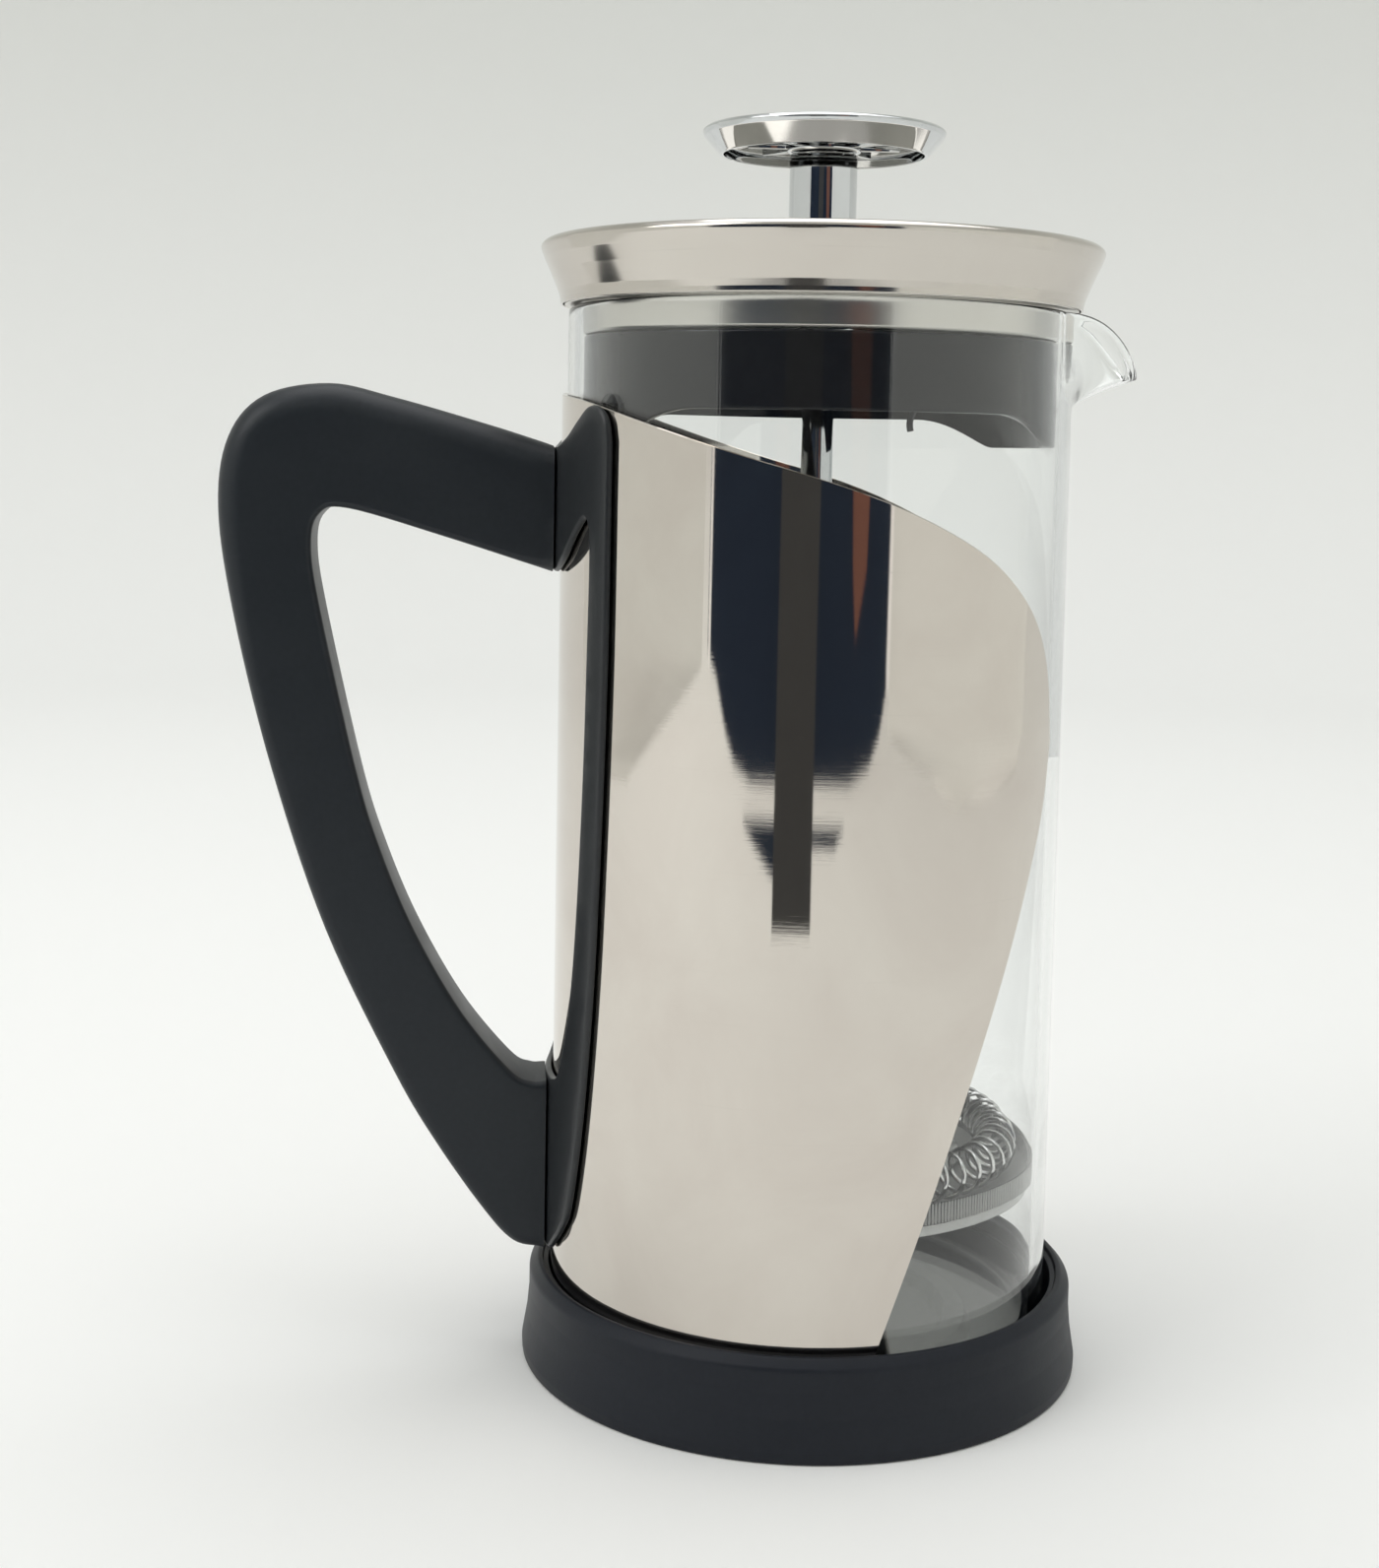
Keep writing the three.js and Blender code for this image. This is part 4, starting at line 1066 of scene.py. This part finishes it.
def hex_nut(name, radius, hole, foot, top):
    """A hexagon nut with the turned chamfers at its corners."""
    nut = turned(name, [(hole, foot), (radius, foot), (radius, top), (hole, top)], 6, sharp=20)
    bore = turned("bore", [(0, foot - 1), (hole, foot - 1), (hole, top + 1), (0, top + 1)], 48)
    cut_away(nut, bore)
    edge = radius * math.cos(math.pi / 6) * 1.03
    wide, slope, over = radius + 2, 0.5, 0.01
    for rim, way in ((foot, -1), (top, 1)):
        cone = turned("chamfer", [(edge, rim + way * over), (wide, rim + way * over),
                                  (wide, rim - way * (wide - edge) * slope)], 96)
        cut_away(nut, cone)
    return nut


TAB_HALF, ARCH_START = 27.5, 54  # degrees off the X axis where a tab ends and an arch is level
ARCH_DEPTH = 13.6                # the skirt's depth over its arches
SKIRT_WALL = 1.6
COMB_SLOTS = 7


def skirt_fall(angle):
    """The skirt's lower edge: two long tabs on the X axis and an arch on each side between them."""
    away = abs((angle + 90) % 180 - 90)
    turn = min(max((away - TAB_HALF) / (ARCH_START - TAB_HALF), 0), 1)
    share = math.sin(turn * math.pi / 2) ** 1.3
    tab = SKIRT_TOP - SKIRT_FOOT
    return SKIRT_FOOT + (tab - ARCH_DEPTH) * share


def make_skirt():
    """The black skirt with its two tabs, its comb of slots and its bent hook."""
    outer, inner = SKIRT_RADIUS - PARTING, SKIRT_RADIUS - SKIRT_WALL
    flange, flange_foot = inner - 4.4, SKIRT_TOP - SKIRT_WALL
    columns = []
    for angle in spread(0, 358.5, 239):
        low = skirt_fall(angle)
        section = rounded(
            (outer, low, 0.5), (outer, SKIRT_TOP, 0.5), (flange, SKIRT_TOP, 0.3),
            (flange, flange_foot, 0.3), (inner, flange_foot, 0.8), (inner, low, 0.5), steps=4)
        columns.append([around(angle, radius, height) for radius, height in section])
    skirt = lofted("arched_skirt", columns, sharp=45)
    comb = box_piece("slot", (-5, -0.55, -7), (5, 0.55, 3))
    slots = set_round("slots", comb, SKIRT_PLASTIC, COMB_SLOTS, SKIRT_RADIUS, SKIRT_FOOT + 3.5,
                      first=197, step=2.6)
    cut_away(skirt, slots, sharp=45)
    hook_at, bend, drop = 104, 2.2, 4.0
    hook_radius, hook_top = SKIRT_RADIUS - SKIRT_WALL / 2, SKIRT_TOP - ARCH_DEPTH + 0.7
    hook = [around(hook_at - 1.3 * math.sin(t), hook_radius, hook_top - drop * t / bend)
            for t in spread(0, bend, 10)]
    place(joined(skirt, wire("hook", hook, 0.6)), SKIRT_PLASTIC, "lid_skirt")


def wire(name, path, radius, sides=8):
    """A round wire along a path of points, with flat ends."""
    columns = []
    for i, point in enumerate(path):
        along = (path[min(i + 1, len(path) - 1)] - path[max(i - 1, 0)]).normalized()
        across = along.cross(Vector((point.x, point.y, 0))).normalized()
        other = along.cross(across)
        columns.append([point + (across * math.cos(t) + other * math.sin(t)) * radius
                        for t in spread(0, 2 * math.pi, sides)[:-1]])
    return lofted(name, columns, closed=False, sharp=60)


# ---------------------------------------------------------------- plunger

MESH_RADIUS, MESH_FOOT, MESH_TOP = extent("mesh_screen")
SPRING_OUTER, SPRING_FOOT, SPRING_TOP = extent("edge_spring")
PLEATS = 400
PLEAT_DEPTH = 0.34
MESH_SHEET = 0.5
BAND_RADIUS = MESH_RADIUS - PLEAT_DEPTH - MESH_SHEET / 2
MESH_STEEL = woven_steel("woven_filter_steel", BAND_RADIUS, BAND_RADIUS + PLEAT_DEPTH * 0.8)
SPRING_TURNS = 56
SPRING_WIRE = 0.45               # radius of the spring's wire
PLATE_SHEET = 0.8
DOME_SLOTS = 14


def make_rod():
    outline = rounded((0, ROD_FOOT), (ROD_RADIUS, ROD_FOOT, 0.7), (ROD_RADIUS, ROD_TOP, 0.6),
                      (0, ROD_TOP))
    place(turned("guide_rod", outline, 96), BRIGHT_CHROME, "plunger_rod")


def make_mesh():
    """The woven disc with its upturned, pleated band."""
    sheet, rib, wall = MESH_SHEET, PLEAT_DEPTH, BAND_RADIUS
    outline = rounded(
        (ROD_HOLE, MESH_FOOT), (wall - 0.3, MESH_FOOT, 0.2), (wall + 0.2, MESH_FOOT + 0.4, 0.3),
        (wall, MESH_TOP), (wall - sheet, MESH_TOP), (wall - sheet, MESH_FOOT + sheet, 0.3),
        (ROD_HOLE, MESH_FOOT + sheet))
    disc = turned("woven_disc", outline)
    half = 1.9                   # of a pleat's length
    pleat = rounded((0, -half), (rib, -half, 0.15), (rib, half, 0.15), (0, half), steps=2)
    band = set_round("pleats", turned("pleat", pleat, 8), MESH_STEEL, PLEATS, wall,
                     (MESH_FOOT + MESH_TOP) / 2 + 0.05, sharp=60)
    place(joined(disc, band), MESH_STEEL, "mesh_screen")


def make_spring():
    """The spring round the filter's edge."""
    coil = (SPRING_TOP - SPRING_FOOT) / 2
    spring = grown(
        "edge_coil", COIL_TREE, 60, ring_radius=(SPRING_OUTER - coil) * MM,
        coil_radius=(coil - SPRING_WIRE - PARTING) * MM, wire_radius=SPRING_WIRE * MM,
        turns=SPRING_TURNS, steps_per_turn=20, height=(SPRING_FOOT + coil) * MM, unevenness=2.4,
        finish=SPRING_STEEL)
    place(spring, SPRING_STEEL, "edge_spring")


def slot_cutter(name, near, far, sweep, half_angle, low, high):
    """A curved slot's cutter: from near to far it swings round by sweep degrees."""
    left = [(half_angle, near + (far - near) * t, sweep * t) for t in spread(0, 1, 10)]
    path = [(turn - half, radius) for half, radius, turn in left]
    path += [(turn + half, radius) for half, radius, turn in reversed(left)]
    columns = [[around(angle, radius, height) for angle, radius in path] for height in (low, high)]
    return lofted(name, columns, closed=False)


def make_spiral_plate():
    """The dome over the filter, with slots that swing round it."""
    radius, foot, top = extent("spiral_plate")
    hub, bend, sheet = ROD_RADIUS + 4, radius * 0.7, PLATE_SHEET
    middle = foot + sheet + (top - foot - sheet) * 0.6
    outline = rounded(
        (ROD_HOLE, top), (hub, top, 0.8), (bend, middle, 3), (radius, foot + sheet, 0.4),
        (radius, foot, 0.3), (bend, middle - sheet, 3), (hub, top - sheet, 0.8), (ROD_HOLE, top - sheet))
    plate = turned("spiral_dome", outline, 128)
    cutter = slot_cutter("slot", radius * 0.36, radius * 0.9, sweep=34, half_angle=4.6,
                         low=foot - 2, high=top + 2)
    slots = set_round("slots", cutter, PLATE_STEEL, DOME_SLOTS)
    place(cut_away(plate, slots, 30), PLATE_STEEL, "spiral_plate")


def make_cross_plate():
    """The flat plate under the mesh, with a ring of wide holes and a ring of small ones."""
    radius, foot, top = extent("cross_plate")
    plate_foot = top - PLATE_SHEET
    outline = rounded(
        (ROD_HOLE, plate_foot), (radius - 2.4, plate_foot, 1), (radius - 1.0, foot, 0.4),
        (radius, foot, 0.3), (radius - 0.3, top, 0.8), (ROD_HOLE, top))
    plate = turned("cross_disc", outline)
    for hole, steps, count, ring, first in (
            (4.6, 40, 8, (MESH_RADIUS - 1.8) * 0.66, 0), (1.5, 20, 24, radius * 0.86, 7.5)):
        punch = turned("punch", [(0, foot - 2), (hole, foot - 2), (hole, top + 2), (0, top + 2)], steps)
        cut_away(plate, set_round("holes", punch, PLATE_STEEL, count, ring, first=first), 30)
    place(plate, PLATE_STEEL, "cross_plate")


def make_hub_and_nut():
    radius, foot, top = extent("filter_hub")
    neck = radius - 1.2
    hub = rounded((ROD_HOLE, foot, 0.2), (radius, foot, 0.6), (radius, foot + 3, 0.5),
                  (neck, foot + 3.4, 0.4), (neck, top, 0.8), (ROD_HOLE, top, 0.3))
    place(turned("filter_boss", hub, 96), BRIGHT_CHROME, "filter_hub")
    nut = hex_nut("filter_hex_nut", ROD_RADIUS + 3.5, ROD_HOLE, *heights("filter_nut"))
    place(nut, BRIGHT_CHROME, "filter_nut")


# ---------------------------------------------------------------- knob

KNOB_RADIUS, _, KNOB_TOP = extent("knob_cap")
STEM_RADIUS, STEM_FOOT, STEM_TOP = extent("knob_stem")
KNOB_RIBS = 8


def make_knob():
    """The cap, its ribbed insert and the stem on the rod."""
    top = KNOB_TOP - PARTING
    low = top - 5                # foot of the cap's flared edge
    face = KNOB_RADIUS - 3.4     # its radius there
    shell = 1.2
    cap = rounded(
        (0, top), (KNOB_RADIUS - 0.8, top, 1), (KNOB_RADIUS, top - 0.6, 0.5),
        (KNOB_RADIUS - 0.4, top - 1.6, 0.6), (face, low, 0.5), (face - 0.8, low, 0.3),
        (face - shell + 1.6, top - shell - 1.4, 0.5), (face - shell, top - shell, 0.6),
        (0, top - shell), steps=7)
    place(turned("knob_disc", cap, sharp=60), BRIGHT_CHROME, "knob_cap")

    insert_foot, insert_top = heights("knob_insert")
    collar_radius = STEM_RADIUS + 0.6
    collar = turned("knob_spider", rounded(
        (ROD_HOLE, insert_foot, 0.2), (collar_radius, insert_foot, 0.6),
        (collar_radius, insert_top, 0.2), (ROD_HOLE, insert_top)), 96)
    rib_end, rib_half, rib_depth = 14.4, 0.6, 2.4
    rib = box_piece("rib", (STEM_RADIUS, -rib_half, insert_top - rib_depth),
                    (rib_end, rib_half, insert_top), bevel=0.15)
    ribs = set_round("ribs", rib, BRIGHT_CHROME, KNOB_RIBS)
    place(joined(collar, ribs), BRIGHT_CHROME, "knob_insert")

    stem = rounded((ROD_HOLE, STEM_FOOT, 0.2), (STEM_RADIUS, STEM_FOOT, 0.5),
                   (STEM_RADIUS, STEM_TOP, 0.3), (ROD_HOLE, STEM_TOP))
    place(turned("knob_neck", stem, 128), BRIGHT_CHROME, "knob_stem")


# ---------------------------------------------------------------- studio

VIEW_TURN = math.radians(-8)     # the camera stands this far round towards the handle


def make_camera():
    """The camera stands close and level with the beaker's upper part, and looks a little down."""
    distance, height = 0.4199, 0.1747
    pan, tilt, roll = 0.0563, 0.0857, 0.0190
    data = bpy.data.cameras.new("camera")
    data.sensor_width = 36
    data.lens = 50.22
    data.shift_y = -0.0917
    data.clip_start = 0.01
    camera = bpy.data.objects.new("camera", data)
    stand = Matrix.Rotation(VIEW_TURN, 4, "Z")
    place_at = stand @ Matrix.Translation((0, -distance, height))
    look = Matrix.Rotation(pan, 4, "Z") @ Matrix.Rotation(math.pi / 2 - tilt, 4, "X")
    camera.matrix_world = place_at @ look @ Matrix.Rotation(roll, 4, "Z")
    scene.collection.objects.link(camera)
    scene.camera = camera


def plain_finish(name, colour):
    """A plain dull material."""
    look = bpy.data.materials.new(name)
    look.use_nodes = True
    shader = look.node_tree.nodes["Principled BSDF"]
    shader.inputs["Base Color"].default_value = (*colour, 1)
    shader.inputs["Roughness"].default_value = 0.9
    return look


def stage_mesh(name, points, faces, finish):
    """A mesh that belongs to the studio."""
    mesh = bpy.data.meshes.new(name)
    mesh.from_pydata(points, [], faces)
    for face in mesh.polygons:
        face.use_smooth = True
    thing = bpy.data.objects.new(name, mesh)
    thing.data.materials.append(finish)
    scene.collection.objects.link(thing)
    return thing


def make_floor():
    """A pale round floor whose edge sweeps up all the way round, with painted shade that grows greyer as
    it rises.
    """
    # The grey is painted shade, reached at grey_height up the sweep.
    pale, grey, grey_height = (0.90, 0.90, 0.89), (0.70, 0.705, 0.68), 0.7
    floor = plain_finish("pale_floor", pale)
    tree = floor.node_tree
    parts = node(tree, "ShaderNodeSeparateXYZ", {0: node(tree, "ShaderNodeTexCoord").outputs["Object"]})
    rise = node(tree, "ShaderNodeMapRange", {"Value": parts.outputs["Z"], "From Max": grey_height})
    shade = node(tree, "ShaderNodeMix", {0: rise, 6: (*pale, 1), 7: (*grey, 1)}, data_type="RGBA")
    tree.links.new(shade.outputs[2], tree.nodes["Principled BSDF"].inputs["Base Color"])
    flat, sweep, steps = 1.2, 0.6, 96
    profile = [(0.0, 0.0), (flat / 2, 0.0), (flat, 0.0)]
    profile += [(flat + sweep * math.sin(t), sweep - sweep * math.cos(t))
                for t in spread(0, math.pi / 2, 16)[1:]]
    profile += [(flat + sweep, 2 * sweep), (flat + sweep, 4 * sweep)]
    points, faces = [], []
    for radius, height in profile:
        for turn in spread(0, 2 * math.pi, steps)[:-1]:
            points.append((radius * math.cos(turn), radius * math.sin(turn), height))
    for row in range(len(profile) - 1):
        for i in range(steps):
            a, b = row * steps + i, row * steps + (i + 1) % steps
            faces.append((a, b, b + steps, a + steps))
    stage_mesh("floor", points, faces, floor)


def make_card(name, colour, distance, *rows, seen_in="glossy", glow=0.0):
    """A card that the camera and dull pieces don't see, for polished pieces and the glass to show.

    Each row is (height, turn at its left, turn at its right), from the bottom up, the turns in
    degrees. Seen in glossy, it shows in polished pieces and through the glass; seen in glass, only
    through the glass.
    """
    look = plain_finish(name, colour)
    shader = look.node_tree.nodes["Principled BSDF"]
    shader.inputs["Emission Color"].default_value = (*colour, 1)
    shader.inputs["Emission Strength"].default_value = glow
    steps = 12
    points = []
    for height, left, right in rows:
        for turn in spread(left, right, steps):
            angle = math.radians(turn) + VIEW_TURN - math.pi / 2
            points.append((distance * math.cos(angle), distance * math.sin(angle), height))
    faces = []
    for row in range(len(rows) - 1):
        first = row * (steps + 1)
        faces += [(i, i + 1, i + steps + 2, i + steps + 1) for i in range(first, first + steps)]
    card = stage_mesh(name, points, faces, look)
    card.visible_camera = False
    card.visible_diffuse = False
    card.visible_glossy = seen_in == "glossy"
    card.visible_transmission = True
    card.visible_shadow = False
    card.visible_volume_scatter = False


def make_lamp(name, place_at, aim, size, power):
    """A soft square lamp aimed at a place."""
    data = bpy.data.lights.new(name, "AREA")
    data.shape = "RECTANGLE"
    data.size, data.size_y = size
    data.energy = power
    lamp = bpy.data.objects.new(name, data)
    way = Vector(aim) - Vector(place_at)
    lamp.matrix_world = Matrix.Translation(place_at) @ way.to_track_quat("-Z", "Y").to_matrix().to_4x4()
    scene.collection.objects.link(lamp)


def make_studio():
    """Floor, sky and lamps, and cards for the dark figure and the pale room that the steel shows."""
    make_floor()
    navy, white, room = (0.009, 0.019, 0.042), (0.95, 0.95, 0.95), (0.95, 0.95, 0.93)
    make_card("navy_card", navy, 0.45, (0.0575, -24, 16), (0.0640, -31, 24), (0.0750, -35, 28),
              (0.0944, -39.5, 31), (0.105, -43.5, 31), (0.36, -43.5, 31))
    make_card("navy_point_left", navy, 0.45, (0.0231, -13.8, -12), (0.0440, -27.4, -11))
    make_card("navy_point_right", navy, 0.45, (0.0346, 0, 10.7), (0.0420, 0, 15))
    make_card("grey_post", (0.055, 0.055, 0.057), 0.40, (0.0151, -13.8, 1.8), (0.36, -13.8, 1.8))
    make_card("brown_strip", (0.21, 0.09, 0.065), 0.44, (0.112, 17, 17.5), (0.135, 15.5, 21),
              (0.19, 14, 22), (0.36, 10, 22))
    make_card("pale_edge_left", white, 0.44, (0.10, -43.2, -42.3), (0.36, -43.2, -42.3), glow=0.3)
    make_card("pale_edge_right", white, 0.44, (0.094, 30.4, 31.6), (0.36, 30.4, 31.6), glow=0.3)
    make_card("room_card_left", room, 0.46, (0.0516, -92, -84), (0.0596, -112, -78),
              (0.0975, -118, -46), (0.36, -118, -46))
    make_card("room_card_right", room, 0.46, (0.0468, 62, 70), (0.0592, 50, 98), (0.0736, 31.7, 102),
              (0.36, 31.7, 102))
    for side, turns in (("left", (-150, -112)), ("right", (112, 150))):
        make_card(f"glass_edge_card_{side}", (0.66, 0.67, 0.67), 0.9, (0.0, *turns), (1.0, *turns),
                  seen_in="glass")
    world = bpy.data.worlds.new("studio_air")
    world.use_nodes = True
    sky = world.node_tree.nodes["Background"].inputs
    sky["Color"].default_value = (0.985, 1.0, 0.995, 1)
    sky["Strength"].default_value = 0.82
    scene.world = world
    make_lamp("top_softbox", (0.1, 0.2, 1.9), (0, 0, 0.05), (1.6, 1.6), 12)
    make_lamp("left_softbox", (-1.1, -0.5, 1.1), (0, 0, 0.1), (0.9, 0.9), 6)


# ---------------------------------------------------------------- everything together

make_camera()
make_studio()
make_base()
make_sleeve()
make_frame()
make_grip()
make_screws()
make_beaker()
make_lid_shell()
make_lid_inside()
make_skirt()
make_rod()
make_mesh()
make_spring()
make_spiral_plate()
make_cross_plate()
make_hub_and_nut()
make_knob()

bpy.context.view_layer.update()
